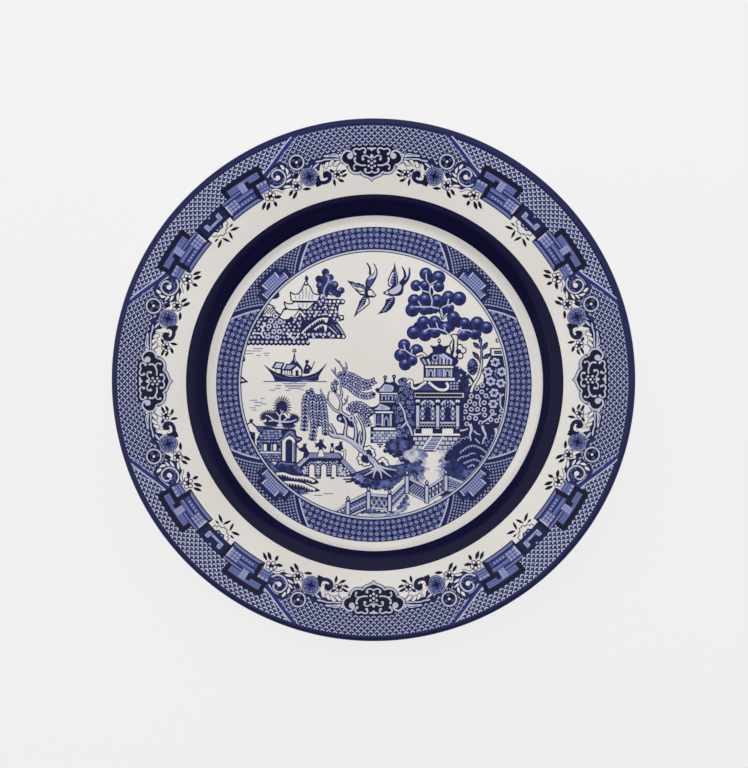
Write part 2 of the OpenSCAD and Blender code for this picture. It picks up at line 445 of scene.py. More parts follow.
def fret(d):
    d.boxes(NAVY, (55.3, 113, 77.2, 120), (61.2, 105.1, 82.4, 115.2))
    # pale panels between the bars
    grid(d, 57.5, 74.8, 115.5, 118.6, 15, 3, BLUE, LIGHT)
    grid(d, 65.7, 69.2, 112.8, 118, 2, 4, LIGHT, PALE)
    # black bars
    d.boxes(
        BLACK, (55.3, 118.8, 77.2, 121.1), (55.3, 113.2, 57.5, 121), (55.3, 113.2, 65.6, 115.3),
        (63.5, 115, 65.6, 117), (74.9, 115.2, 77.2, 121))
    # left block of squares
    d.box(BLUE, 55.5, 108.2, 61.3, 113.2)
    for u in (56.4, 58.5, 60.5):
        d.box(PALE, u - 0.75, 111.6, u + 0.75, 113.0)
    d.boxes(LIGHT, (55.9, 110.5, 61.1, 111.2), (55.8, 108.9, 61.1, 109.9))
    # blue panel
    d.box(BLUE, 63.8, 107.9, 80.2, 113.2)
    d.box(LIGHT, 62.9, 111.2, 73.4, 112.2)
    d.box(NAVY, 63.8, 110.2, 73.4, 110.9)
    for k in range(4):
        d.dot(PALE, 66.6 + 1.85 * k, 109.05, 0.55)
    grid(d, 73.6, 79.6, 108.3, 113.3, 3, 3, BLUE, PALE, 0.5)
    d.box(MIST, 79.5, 107.9, 80.3, 113.3)
    # light bars and their mitred neighbours
    d.area(LIGHT, [(69.6, 114), (80.4, 114), (81.6, 115), (69.6, 115)])
    d.area(BLACK, [(61.2, 113.1), (61.2, 105.1), (63.8, 107.4), (63.8, 111.6), (62.4, 113.1)])
    d.area(LIGHT, [(62.1, 105.7), (81.4, 105.7), (79.9, 106.95), (64, 106.95)])
    d.area(BLACK, [(80.5, 115.2), (80.5, 107.2), (82.4, 105.1), (82.6, 105.1), (82.6, 115.4)])


def centre_block(d):
    """The dark block in the middle of the fret, and the half flower that hangs under it."""
    U = HALF_TURN
    d.area(NAVY, [(82.4, 115.6), (82.4, 107.9), (U + 7.4, 107.9), (U + 7.4, 115.6)])
    for side in (-1, 1):
        def at(points):
            return flip(points, side, U)

        d.area(
            PALE, at([(84.6 - U, 110), (0, 110), (0, 111.2), (86.9 - U, 111.2), (86.9 - U, 112.9),
            (86.2 - U, 113.4), (84.6 - U, 113.4)]))
        d.line(NAVY, 0.25, at([(85.7 - U, 112.6), (85.6 - U, 111.3), (86.3 - U, 110.8), (88 - U, 110.6)]))
        d.area(
            PAPER, at([(0, 107.9), (8.2, 107.9), (8.2, 104.6), (6.1, 104.6), (5.4, 105.4), (2, 103.4),
            (0, 103.2)]))
        d.rule(
            NAVY, 0.5, *at([(5.4, 107.8), (5.2, 106.2), (3.6, 106.2), (3.9, 104.9), (2.6, 104.9),
            (1.5, 104.4), (1.2, 103.4), (0, 103.9)]))
        d.area(NAVY, at([(0, 107.9), (3.2, 107.9), (2.5, 107.2), (2.1, 106.5), (0.9, 106.5), (0, 106.9)]))
        d.area(PALE, at([(0.5, 107.9), (1.9, 107.9), (1.6, 107.2), (0.8, 107.2)]))
        for root, tip, width in (
                ((4.2, 104.5), (7.1, 104.6), 1.0), ((3.4, 102.9), (8.4, 101.3), 1.5), ((2.6, 103.2),
                (1, 99), 1.5)):
            d.leaf(BLACK, *at([root])[0], *at([tip])[0], width)
    d.area(PALE, [(U - 0.8, 115), (U + 0.8, 115), (U, 113.9)])


def rim_drawing():
    d = Drawing()
    for part in (
            rim_lattice, divider, star_medallion, ring_medallion, right_spray, spray, comma_scroll,
            flowers, cartouche, fret, centre_block):
        part(d)
    return d


# ---------------------------------------------------------------- the well border
HALF_WELL = 56.6      # length of half a repeat, round the circle of radius 72.05


def well_trellis(d):
    """Rows of blossoms, with dark crosses and small stars by turns at the corners between them."""
    pitch, drop = 2.87, 2.7
    for row in range(4):
        v = 77.0 - drop * row
        for k in range(-1, 15):
            u = pitch * (k + 0.5)
            d.dot(BLUE, u, v, 1.12, 1.0)
            slant = 1 if (k + row) % 2 else -1
            for shift in (-0.42, 0.42):
                x, y = u - shift * 0.72, v + slant * shift * 0.7
                d.rule(PALE, 0.42, (x - 0.68, y - slant * 0.62), (x + 0.68, y + slant * 0.62))
            x, y = u + pitch / 2, v - drop / 2
            if (k + row) % 2 == 0:
                d.area(NAVY, [
                    (x - 1.5, y), (x - 0.4, y + 0.4), (x, y + 1.5), (x + 0.4, y + 0.4), (x + 1.5, y),
                    (x + 0.4, y - 0.4), (x, y - 1.5), (x - 0.4, y - 0.4)])
            else:
                d.area(LIGHT, [
                    (x - 0.8, y + 0.8), (x, y + 0.25), (x + 0.8, y + 0.8), (x + 0.25, y),
                    (x + 0.8, y - 0.8), (x, y - 0.25), (x - 0.8, y - 0.8), (x - 0.25, y)])
                d.dot(NAVY, x, y, 0.3)


def well_diaper(d):
    """The small diaper in the corner section."""
    for row in range(11):
        v = 77.6 - 1.05 * row
        for k in range(30):
            u = 30 + 2.1 * (k + 0.5 * (row % 2)) - 1.0
            if 29.8 + (78 - v) * 1.05 < u < HALF_WELL + 2:
                d.diamond(PALE, u, v, 0.66, 0.42)


def stepped_cartouche(d):
    U = HALF_WELL
    d.area(NAVY, [
        (46.6, 67.6), (46.6, 73.1), (49.9, 73.1), (49.9, 76), (U + 7, 76), (U + 7, 73.1), (U + 10, 73.1),
        (U + 10, 67.6)])
    inner = [
        (U - 7.9, 67.9), (U - 7.9, 71.3), (U - 4.6, 71.3), (U - 4.6, 74.3), (U + 4.6, 74.3),
        (U + 4.6, 71.3), (U + 7.9, 71.3), (U + 7.9, 67.9)]
    d.area(BLUE, inner)
    cell = 1.28
    for i in range(-6, 7):
        for j in range(5):
            x, y = U + cell * i, 68.5 + cell * j
            if abs(i) <= (5.6 if y < 71 else 3.2):
                d.box(PALE, x - 0.46, y - 0.46, x + 0.46, y + 0.46)
    d.boxes(MIST, (U - 7.9, 67.8, U - 7.3, 71.3), (U - 4.6, 71.3, U - 4.0, 74.3))


def well_drawing():
    d = Drawing()
    d.box(DUSK, -2, 67.4, 60, 78.3)
    well_trellis(d)
    d.area(DUSK, [(30.5, 78.4), (60, 78.4), (60, 67), (41.8, 67)])
    well_diaper(d)
    d.area(NAVY, [(31.8, 78.4), (34.0, 78.4), (44.3, 67.6), (42.4, 67.6)])
    d.rule(MIST, 0.62, (30.6, 78.2), (36, 73.2), (41.8, 67.6))
    d.rule(PALE, 0.35, (34.6, 78.2), (40, 73), (45.2, 67.6))
    stepped_cartouche(d)
    d.boxes(NAVY, (-2, 77.9, 60, 78.3), (-2, 67.05, 60, 67.6))
    d.box(MIST, -2, 66.25, 60, 67.05)
    d.box(NAVY, -2, 65.8, 60, 66.25)
    return d


# ---------------------------------------------------------------- the scene
def white_line(d, width, *points, rim=0.45, ink=PAPER):
    """A pale stroke with round ends and a dark outline."""
    for tone, wide in ((NAVY, width + 2 * rim), (ink, width)):
        d.rule(tone, wide, *points)
        d.dot(tone, *points[0], wide / 2)
        d.dot(tone, *points[-1], wide / 2)


def within(polygon, x, y):
    odd = False
    for (ax, ay), (bx, by) in zip(polygon, polygon[1:] + polygon[:1]):
        if (ay > y) != (by > y) and x < ax + (bx - ax) * (y - ay) / (by - ay):
            odd = not odd
    return odd


def speckled(d, ground, dots, points, pitch=2.1, r=0.62, stretch=1.0):
    """A patch of ground strewn with pale dots in loose rows."""
    d.area(ground, points)
    xs, ys = [p[0] for p in points], [p[1] for p in points]
    rows = int((max(ys) - min(ys)) / (pitch * 0.86)) + 1
    for j in range(rows):
        y = max(ys) - 0.9 - pitch * 0.86 * j
        for i in range(int((max(xs) - min(xs)) / (pitch * stretch)) + 2):
            x = min(xs) + pitch * stretch * (i + 0.5 * (j % 2) + 0.14 * math.sin(7.3 * i + 2.9 * j))
            yy = y + 0.14 * pitch * math.sin(3.1 * i + 5.7 * j)
            if within(
                    points, x, yy) and within(points, x + 0.5, yy - 0.5) and within(points, x - 0.5,
                    yy + 0.4):
                d.dot(dots, x, yy, r * (1 + 0.18 * math.sin(5 * i + j)))


def rings(d, places, r=1.3, core=0.55, rim=0.35):
    """Ring blossoms: a dark edge, a white ring and a dark eye."""
    for x, y in places:
        d.disc(x, y, (NAVY, r + rim), (MIST, r), (NAVY, core))


def pearls(d, places, r=0.95, rim=0.35):
    """White beads with a dark edge."""
    for x, y in places:
        d.disc(x, y, (NAVY, r + rim), (PAPER, r))


def jagged(d, points, width=0.8, tooth=1.1, pitch=1.25, ink=PAPER):
    """A ridge line with teeth hanging from it."""
    path = curve(points)
    d.area(ink, ribbon(path, width))
    gone = 0
    for (ax, ay), (bx, by) in zip(path[:-1], path[1:]):
        gone += math.dist((ax, ay), (bx, by))
        if gone > pitch:
            gone = 0
            d.area(ink, [(ax - 0.45, ay), (ax + 0.45, ay), (ax + 0.1, ay - width / 2 - tooth)])


def tapered(points, width, tip):
    return ribbon(curve(points), width, tip)


# ---- the island with its three-tiered pagoda
def island(d):
    speckled(d, NAVY, MIST, [
        (-66, 19.2), (-66, 30), (-62, 36), (-55, 38.6), (-51, 38.4), (-49, 36), (-46.5, 33.5),
        (-44.5, 31.5), (-42, 32), (-40, 34.5), (-38, 33), (-36.5, 36), (-34.5, 37), (-30.5, 38.5),
        (-28.5, 42.5), (-26, 44), (-22, 42.5), (-15.2, 42.4), (-13.9, 41.2), (-14.5, 39.7), (-17, 39.5),
        (-17.5, 34.8), (-14.6, 34.2), (-14.5, 31.8), (-18.2, 31), (-14.6, 26.2), (-13.4, 23.5),
        (-14, 22.5), (-30.5, 22.6), (-32, 22.6), (-32, 22.2)])
    d.box(NAVY, -65, 19.6, -32.2, 22.6)
    d.rule(NAVY, 0.8, (-55.3, 39.2), (-51.7, 39.6), (-49.6, 38.6), (-49.5, 37), (-46.3, 34.4))
    d.area(PAPER, [(-54.9, 38.2), (-50.3, 38.4), (-49.2, 36.2), (-51.6, 33.4), (-53.6, 34)])
    d.hatch(NAVY, 0.55, 4, (-55.4, 34.6), (1.3, 0), (-52.4, 38.2))
    d.area(NAVY, [(-35.5, 33.6), (-33, 31), (-28, 33.8), (-24, 34.4), (-20, 34), (-20, 26), (-36, 24.6)])
    jagged(d, [
        (-35.6, 25.2), (-32.6, 28.3), (-30, 30.2), (-27.5, 32), (-25, 32.7), (-22.3, 32.6)], 0.6, 1.1)
    jagged(d, [(-29.3, 27.2), (-26, 29.3), (-23.1, 28.9)], 0.6, 1.1)
    d.area(
        PAPER, [(-24.6, 29), (-22.8, 29), (-23.3, 26.6), (-23.9, 25.8)],
        [(-24.7, 32.6), (-22.6, 32.4), (-22.8, 30.9), (-23.7, 30.5)])
    for k in range(7):
        d.dot(MIST, -34 + 2 * k, 24.7, 0.7)
    d.area(NAVY, [(-20.4, 31.4), (-17.6, 30.8), (-14.7, 26.3), (-13.2, 23.4), (-21, 24.8), (-22, 28)])
    d.rule(MIST, 0.55, (-22, 28.6), (-18.2, 25))
    d.rule(MIST, 0.5, (-18.4, 29.6), (-16.6, 27.6), (-14.8, 25))
    d.hatch(LIGHT, 0.3, 4, (-20.6, 29.9), (0.9, -1), (-19.8, 28.6))
    rings(d, [
        (-48.6, 33.9), (-50.8, 31.4), (-46.2, 31), (-51.8, 28.6), (-48.5, 28.9), (-49.3, 26),
        (-46.5, 26.1), (-52.3, 23.6), (-47.8, 23.1)])
    pearls(d, [
        (-21.5, 41), (-19.4, 41.1), (-17.4, 41.1), (-15.2, 41.1), (-20.3, 37.9), (-20.7, 35.9),
        (-18.5, 36), (-21.5, 34.3), (-15.8, 33.2), (-23.8, 38.4), (-19.9, 24), (-17.2, 23.9),
        (-14.8, 23.7)], 0.7, 0.5)
    d.rules(
        PAPER, 0.6, [(-59.8, 25.5), (-55.8, 25), (-54.1, 22.8)],
        [(-55.5, 25.3), (-54.3, 29.3), (-53.5, 30.3)],
        [(-43.1, 25.8), (-41.2, 23.6), (-39.3, 21.9), (-37.2, 24.2), (-37.8, 25.3)],
        [(-41.2, 23.6), (-40.2, 25.6)],
        [(-29, 34), (-27.4, 36.4)],
        [(-25.6, 34.6), (-22.8, 34.9)])
    for k in range(14):
        d.dot(NAVY, -61.8 + 2.25 * k, 20.3, 1.2)
        d.dot(MIST, -61.8 + 2.25 * k, 20.9, 0.72)


def island_pagoda(d):
    d.area(NAVY, [(-44.6, 37.6), (-47, 33.2), (-44.8, 31.6), (-41.5, 31.6), (-37.5, 34.6), (-34, 37.6)])
    d.area(PAPER, [
        (-43.9, 37.2), (-46.3, 33.2), (-44.4, 32.2), (-42, 32.4), (-40.8, 33.8), (-39.4, 32.9),
        (-36.8, 36.9)])
    d.rule(NAVY, 2.2, (-38.6, 33.1), (-36.5, 36.2), (-34.3, 33.4))
    d.rule(PAPER, 1.1, (-38.6, 33.1), (-36.4, 36.3), (-34, 33.3))
    lower = [
        (-44.2, 41), (-42.7, 39.9), (-40, 40.1), (-39, 40.9), (-29.8, 41), (-30.8, 39), (-33, 37.2),
        (-38, 37), (-42.3, 37.2), (-43.8, 38.9)]
    upper = [
        (-41.1, 46), (-40.2, 44.9), (-37.4, 44.9), (-35.5, 47.2), (-34.5, 49.4), (-32.4, 49.4),
        (-31.2, 47.8), (-30, 45.4), (-28.2, 44.6), (-26.4, 44.3), (-27.2, 42.6), (-28.5, 41), (-39.4, 41),
        (-41, 43.4)]
    for tier in (lower, upper):
        d.blob(PAPER, tier)
        d.line(NAVY, 0.65, tier, closed=True)
    for x, y0, y1 in (
            (-36.6, 42.3, 45.4), (-35, 42.3, 47), (-33.4, 43, 48), (-31.9, 42.3, 46), (-38.6, 42.4, 43.6),
            (-30.4, 42.4, 44.6), (-37, 38, 40), (-35, 38, 40.2), (-33, 38, 40)):
        d.rule(LIGHT, 0.4, (x, y0), (x, y1))
    d.rule(NAVY, 0.9, (-39.6, 41.1), (-28.2, 41))
    d.dots(NAVY, (-43.5, 37.4, 0.8), (-36.4, 37.3, 0.9), (-33.5, 50, 1.2))
    d.dot(PAPER, -33.5, 50.2, 0.55)
    d.blob(NAVY, [(-33.3, 54.2), (-32.2, 52.4), (-33.1, 50.9), (-34.1, 52.4)])


def lobed_tree(d):
    d.dots(
        DEEP, (-23.8, 55.7, 1.9), (-27, 52.2, 1.9), (-26.6, 49, 1.9), (-26, 46.4, 1.9), (-21.4, 53, 1.8),
        (-19.3, 49.4, 2), (-15.9, 46.6, 1.7), (-17.6, 44.8, 1.8), (-23.6, 51.6, 3), (-23, 47.6, 3.4),
        (-20.4, 46.4, 2.6))
    d.dots(
        LIGHT, (-26.5, 49.6, 0.9), (-23, 54, 1.0), (-21.2, 51, 1.1), (-19, 49.9, 0.9), (-16.6, 47, 0.8))
    d.line(PALE, 0.8, [(-22.2, 53.6), (-22.6, 50.6), (-24.2, 47.6), (-24.6, 44.4), (-23.6, 42.6)])
    d.line(PALE, 0.6, [(-22.6, 46.2), (-21, 44.8), (-19.8, 43.4)])
    d.blob(NAVY, [(-22.4, 49.6), (-21.9, 46.4), (-23.2, 43), (-24.2, 46)])
    d.blob(DEEP, [(-50.6, 44.6), (-47.3, 46), (-46.6, 43.6), (-48.2, 42.4), (-51, 42.4)])


# ---- the two doves
def doves(d):
    d.area(NAVY, tapered([(-3.3, 60.4), (-1.8, 57.8), (-1.7, 54.4)], 0.6, 1.3))
    d.blob(NAVY, [
        (0.1, 60.4), (1.6, 58), (2.1, 55.4), (1.5, 53), (0.2, 50.4), (-1.5, 48), (-3, 47.3), (-4, 49.6),
        (-3.6, 51.8), (-1.9, 54), (-0.3, 55), (0.6, 57.4)])
    d.blob(MIST, [
        (0.6, 59), (1.4, 56.5), (1.3, 54.2), (-0.1, 52.4), (-1.5, 51.6), (-2.6, 52.4), (-1.2, 53.8),
        (0.3, 55.2)])
    d.blob(BLUE, [(-0.2, 52.6), (-0.4, 50.6), (-2, 48.6), (-3.2, 49.6), (-2.8, 51.6), (-1.6, 52.2)])
    d.area(NAVY, [
        (-13.2, 51.6), (-9.8, 51), (-8.9, 50.3), (-7.2, 50.5), (-6.3, 49.9), (-5, 49.6), (-3.2, 47.8),
        (-2.4, 46), (-3.2, 43.6), (-6.4, 44.2), (-8.9, 46.7), (-11.4, 49.6)])
    d.area(PAPER, [
        (-11.2, 49.9), (-8.6, 48.2), (-5.6, 47.8), (-4.3, 46.6), (-4.4, 44.9), (-6.1, 45.1),
        (-8.6, 47.2)])
    d.line(NAVY, 0.5, [(-8.6, 47.6), (-6.6, 46.2), (-4.4, 46.4)])
    d.area(NAVY, [
        (-9.7, 33), (-8.7, 36.3), (-7.6, 38.9), (-6.9, 41.3), (-5.4, 43.3), (-3.6, 44.6), (-2, 43.4),
        (-1.7, 40), (-4.8, 37.3), (-7.6, 35.2)])
    d.area(PAPER, [
        (-8.5, 35.2), (-6, 38), (-4, 40), (-3.4, 42.6), (-2.5, 42.6), (-2.3, 40.2), (-5, 37.9)])
    d.hatch(PALE, 0.4, 6, (-8, 36.6), (0.62, 1.2), (-6.4, 37.6), (0.55, 1.05))
    d.hatch(PALE, 0.38, 5, (-10.6, 50.3), (1.35, -0.35), (-9.4, 49.2), (1.3, -0.5))
    d.blob(NAVY, [
        (-3.6, 46.4), (-1.6, 47.7), (0.3, 46), (1.5, 44.3), (0.2, 43.1), (-1.8, 43.2), (-3.4, 43.6)])
    d.blob(PAPER, [(-2.6, 46.2), (-1.4, 46.8), (-0.2, 45.6), (-0.9, 44.2), (-2.4, 44.4)])
    d.dot(PAPER, 0.2, 44.6, 0.75)
    d.dot(NAVY, 0.3, 44.7, 0.3)
    d.area(NAVY, [
        (10.5, 60.8), (11.2, 57.6), (12.2, 54), (12.5, 51), (11.9, 48.6), (9.3, 47.7), (7.3, 49),
        (7.1, 51.8), (8.7, 55.6), (10.1, 58)])
    d.area(BLUE, [(10.2, 57.4), (10.4, 54), (10.1, 50.6), (9, 49.2), (7.8, 49.8), (7.8, 51.8), (9.1, 55)])
    d.hatch(PALE, 0.45, 5, (8.2, 50), (0.35, 1.3), (9.6, 49.6), (0.25, 1.5))
    d.line(PAPER, 0.7, [(9.8, 55.6), (8.6, 53), (8, 50.4), (9, 48.9)])
    d.area(NAVY, [
        (2.1, 34.8), (4, 36.9), (5.6, 39.4), (6.4, 42.4), (8.8, 44.6), (10.9, 43), (10.7, 40.4),
        (8.7, 37.4), (6.6, 35.8), (4.9, 35.5)])
    d.hatch(PALE, 0.42, 6, (4.6, 36.3), (0.75, 1.15), (6.4, 37.2), (0.7, 1.0))
    d.hatch(PALE, 0.38, 6, (10.8, 57.2), (0.12, -1.5), (11.7, 55.6), (0.06, -1.4))
    d.line(PAPER, 0.7, [(6.9, 42.6), (8.4, 43.4), (9.6, 43.2)])
    d.area(NAVY, tapered([(14.2, 58.6), (15.4, 56), (15.6, 53), (13.4, 50)], 0.5, 2.2))
    d.area(NAVY, tapered([(17.8, 58.2), (17.9, 55), (16.6, 52), (14.2, 49.6)], 0.5, 2.2))
    d.area(PALE, tapered([(17.6, 57), (17.2, 54.2), (15.6, 52)], 0.3, 0.7))
    d.blob(NAVY, [
        (6.6, 46.8), (8.4, 48), (11, 48.6), (13.5, 50.4), (14.9, 50), (15, 47), (14, 44.6), (11.5, 43.9),
        (8.5, 44), (6.6, 44.3), (4.7, 45.4)])
    d.blob(MIST, [
        (7.8, 46.4), (9.6, 47.6), (12.8, 49.7), (14, 48.8), (13.2, 46.4), (10.8, 44.9), (8.6, 45)])
    d.dot(PAPER, 6.8, 45.6, 0.8)
    d.dot(NAVY, 6.7, 45.7, 0.3)


# ---- the boat and the water
def boat(d):
    d.blob(NAVY, [
        (-54.2, 9.6), (-50.3, 6.9), (-47, 5.4), (-44.1, 4.3), (-39.3, 3.6), (-32.7, 4.2), (-27.9, 6),
        (-25.5, 8), (-23, 10.4), (-24.9, 7.2), (-26.8, 4), (-27.7, 1.7), (-35, 1.7), (-38.1, 0.8),
        (-45, 1.2), (-48.5, 1.4), (-49.5, 3.4), (-51.6, 6.4)])
    d.area(PAPER, tapered([(-24.6, 8.9), (-28, 6.6), (-32.4, 5.4), (-37, 4.8), (-43, 5.1)], 0.4, 0.7))
    d.line(BLUE, 0.4, [(-49.4, 5), (-44, 2.9), (-38, 2.4), (-32, 2.9), (-27.6, 4.4)])
    d.area(
        NAVY, [(-48.6, 11.1), (-43.8, 10.6), (-45.2, 7.3), (-50.4, 7.8)],
        [(-43.1, 10.1), (-38, 10.1), (-39.6, 6.6), (-44.6, 7)])
    d.area(MIST, [(-47.9, 10.4), (-44.8, 10.1), (-46, 7.9), (-49.2, 8.3)])
    d.area(PALE, [(-42.6, 9.5), (-38.9, 9.5), (-40, 7.3), (-43.6, 7.6)])
    d.area(NAVY, [(-48.9, 7.9), (-40, 7), (-40, 4), (-47.6, 4.6)])
    d.area(
        PAPER, [(-48.4, 7.4), (-46, 7.2), (-46, 5.3), (-47.8, 5.5)],
        [(-44.9, 6.7), (-40.2, 6.5), (-40.2, 4.4), (-44.9, 4.8)])
    for x in (-43.8, -42.6, -41.4):
        d.rule(BLUE, 0.4, (x, 4.7), (x, 6.6))
    d.area(NAVY, [(-40.4, 3.8), (-41, 7.6), (-37.8, 10), (-34.8, 7.4), (-35.2, 3.8)])
    d.area(PAPER, [(-39.9, 4.1), (-39.9, 7), (-37.8, 8.9), (-35.8, 7), (-35.6, 4.3)])
    d.box(NAVY, -38.5, 4, -37, 6.9)
    d.area(NAVY, [
        (-41.4, 10.2), (-39.9, 12), (-39.3, 15.3), (-38.9, 15.3), (-38.3, 12), (-35.3, 8.2), (-35.6, 7),
        (-38, 9.6)])
    d.dot(NAVY, -39.1, 16.6, 1)
    d.dot(PAPER, -39.1, 16.7, 0.45)
    d.area(PALE, [(-39.3, 13.4), (-38.9, 13.4), (-37.9, 11.2), (-38.8, 10.6)])
    d.rule(NAVY, 0.45, (-30.9, 6.6), (-29, 11.4))
    d.dot(NAVY, -32.8, 11.1, 1)
    d.blob(NAVY, [
        (-33.3, 10.2), (-32, 9.6), (-30.3, 7.9), (-31.2, 7.2), (-31.6, 5.4), (-34.6, 5.2), (-34.2, 8)])
    d.dot(PAPER, -32.6, 8.2, 0.4)
    d.rule(BLUE, 0.5, (-54.4, 1.2), (-23, 1.3))
    for x, y, w in (
            (-39, 0.2, 12), (-38.5, -0.7, 10.5), (-39, -1.4, 9), (-39, -2.2, 6), (-47, -0.8, 2.6),
            (-47.4, -2.2, 3), (-49.8, -3.1, 2.4), (-42.2, -3.1, 2.6), (-35.3, -2.9, 2.4),
            (-59.6, 16.4, 8), (-57.2, 17.6, 5), (-61.7, 15, 4), (-52.9, 15.3, 3), (-52.9, 14.2, 2),
            (-57, 14.2, 2.6), (-59.3, -8.1, 3.6), (-57, -9.2, 4), (-54.1, -9.9, 2.6), (-57.2, -10.8, 3),
            (-59.8, -11.9, 3), (-58.9, -13, 2.4), (-54.8, -7.2, 2), (-30, -53.4, 4), (-22, -54.4, 5),
            (-27, -55.2, 4)):
        d.rule(BLUE, 0.36, (x - w / 2, y), (x + w / 2, y))
    d.area(NAVY, [(-66, 4.4), (-61.8, 0.9), (-66, 0)])
    d.area(PAPER, [(-66, 3), (-63.4, 1.4), (-66, 1.2)])
    d.dot(NAVY, -64.3, 12.3, 0.9, 1.3)
    d.dot(PAPER, -64.3, 12.6, 0.4)


# ---- the apple tree
APPLES = (
    (26, 55, 3.2), (32.3, 53.1, 3.6), (21.3, 49.1, 2.9), (25.6, 49.1, 2.8), (32.5, 48.6, 2.8),
    (25.6, 42.2, 3.3), (31.5, 41.7, 3.3), (37.3, 43.4, 3.3), (42.6, 42.7, 3.6), (20.4, 41.7, 3.3),
    (25.3, 37, 2.7), (30.6, 37.2, 2), (19.4, 37, 3.5), (37.7, 37.9, 2.6), (24.9, 30.8, 3.3),
    (30.6, 31.2, 3.1), (25.8, 24.8, 3.5), (30.6, 26, 3.1), (20.1, 25.8, 3.5), (35.8, 28, 3.4),
    (39.8, 33.3, 3.3), (44.9, 24.8, 3.3), (50.6, 25.4, 3.2), (45.4, 30.4, 3), (51.6, 30.4, 3.5),
    (56.2, 28.3, 3.2), (13.7, 14.5, 3.3), (15.9, 10, 3.2), (19.4, 11.8, 2.7), (21.6, 16.8, 3.3),
    (15.4, 19.5, 3.1))


def apple_tree(d):
    for place in (
            (28, 52), (27, 46), (35, 41), (23, 39.6), (28, 37.6), (35, 37.2), (28, 28), (33, 29),
            (22.6, 28.4), (38, 29), (48.4, 28.2), (42.3, 31), (18, 14.8), (18.4, 12.6)):
        d.dot(NAVY, *place, 2.9)
    for x, y, r in APPLES:
        d.dot(NAVY, x, y, r)
        d.dot(COBALT, x + 0.1, y + 0.15, r * 0.84)
        d.dot(NAVY, x + 0.5, y - r * 0.34, r * 0.52)
        d.dot(BLUE, x - 0.2, y + r * 0.36, r * 0.46, r * 0.34)
        d.dot(PALE, x - 0.2, y + r * 0.46, r * 0.2, r * 0.16)
    d.rules(
        MIST, 0.62, [(26.2, 55.2), (26.4, 52), (28, 49.6), (31.6, 51.6)],
        [(28.2, 49.6), (28, 45.5), (29.2, 42), (29, 38.6)],
        [(22.7, 48.9), (24.4, 46.6), (28, 45.6)],
        [(20.6, 38.6), (24.4, 38.6), (29.1, 38.6), (33, 37.7), (36.8, 39.6), (39.6, 39.9)],
        [(37.4, 42.6), (36.9, 39.7)],
        [(22.2, 41.4), (24.1, 38.7)],
        [(25.2, 26.4), (27.6, 27.7), (32.2, 27.7), (35.6, 26.5), (38.4, 24.1)],
        [(27, 29.8), (28, 27.8)],
        [(31.3, 30.8), (32.2, 27.7)],
        [(35.4, 28.4), (35.6, 26.6)],
        [(41.8, 24.6), (43.7, 27.2), (47.4, 27), (49.2, 26.1)],
        [(43.4, 28.8), (43.7, 27.2)],
        [(15.2, 19.6), (16, 17), (18.9, 14.8), (21.8, 13.8)],
        [(13.2, 17.2), (15.9, 17.2)],
        [(19.2, 17.6), (18.9, 14.8)])
    white_line(d, 0.9, (33.6, 37.6), (34.4, 32.9), ink=MIST)
    white_line(d, 0.6, (34.6, 33), (36.6, 35.2), ink=MIST)
    d.area(NAVY, [
        (38.2, 24.6), (40, 25.3), (42.4, 25), (42.2, 20), (42.4, 14), (41, 10.6), (37, 12), (39, 16),
        (39.6, 22)])
    d.area(PAPER, [
        (39, 24.4), (40.4, 24.8), (41.8, 24.2), (41.5, 20), (41.7, 15), (40, 12.4), (39.4, 13.4),
        (40.4, 17), (40.4, 22)])
    d.line(NAVY, 0.6, [(39.2, 22), (38, 19.4), (38.8, 16), (37.2, 12.6)])
    white_line(d, 1.1, *curve([(21.8, 14.6), (24.4, 15.4), (26.6, 13.4)]))


# ---- the main pagoda
def arch(x, bottom, top, half, n=8):
    """A round-headed opening."""
    head = [polar(x, top - half, half, 180 - 180 * k / n) for k in range(n + 1)]
    return [(x - half, bottom)] + head + [(x + half, bottom)]


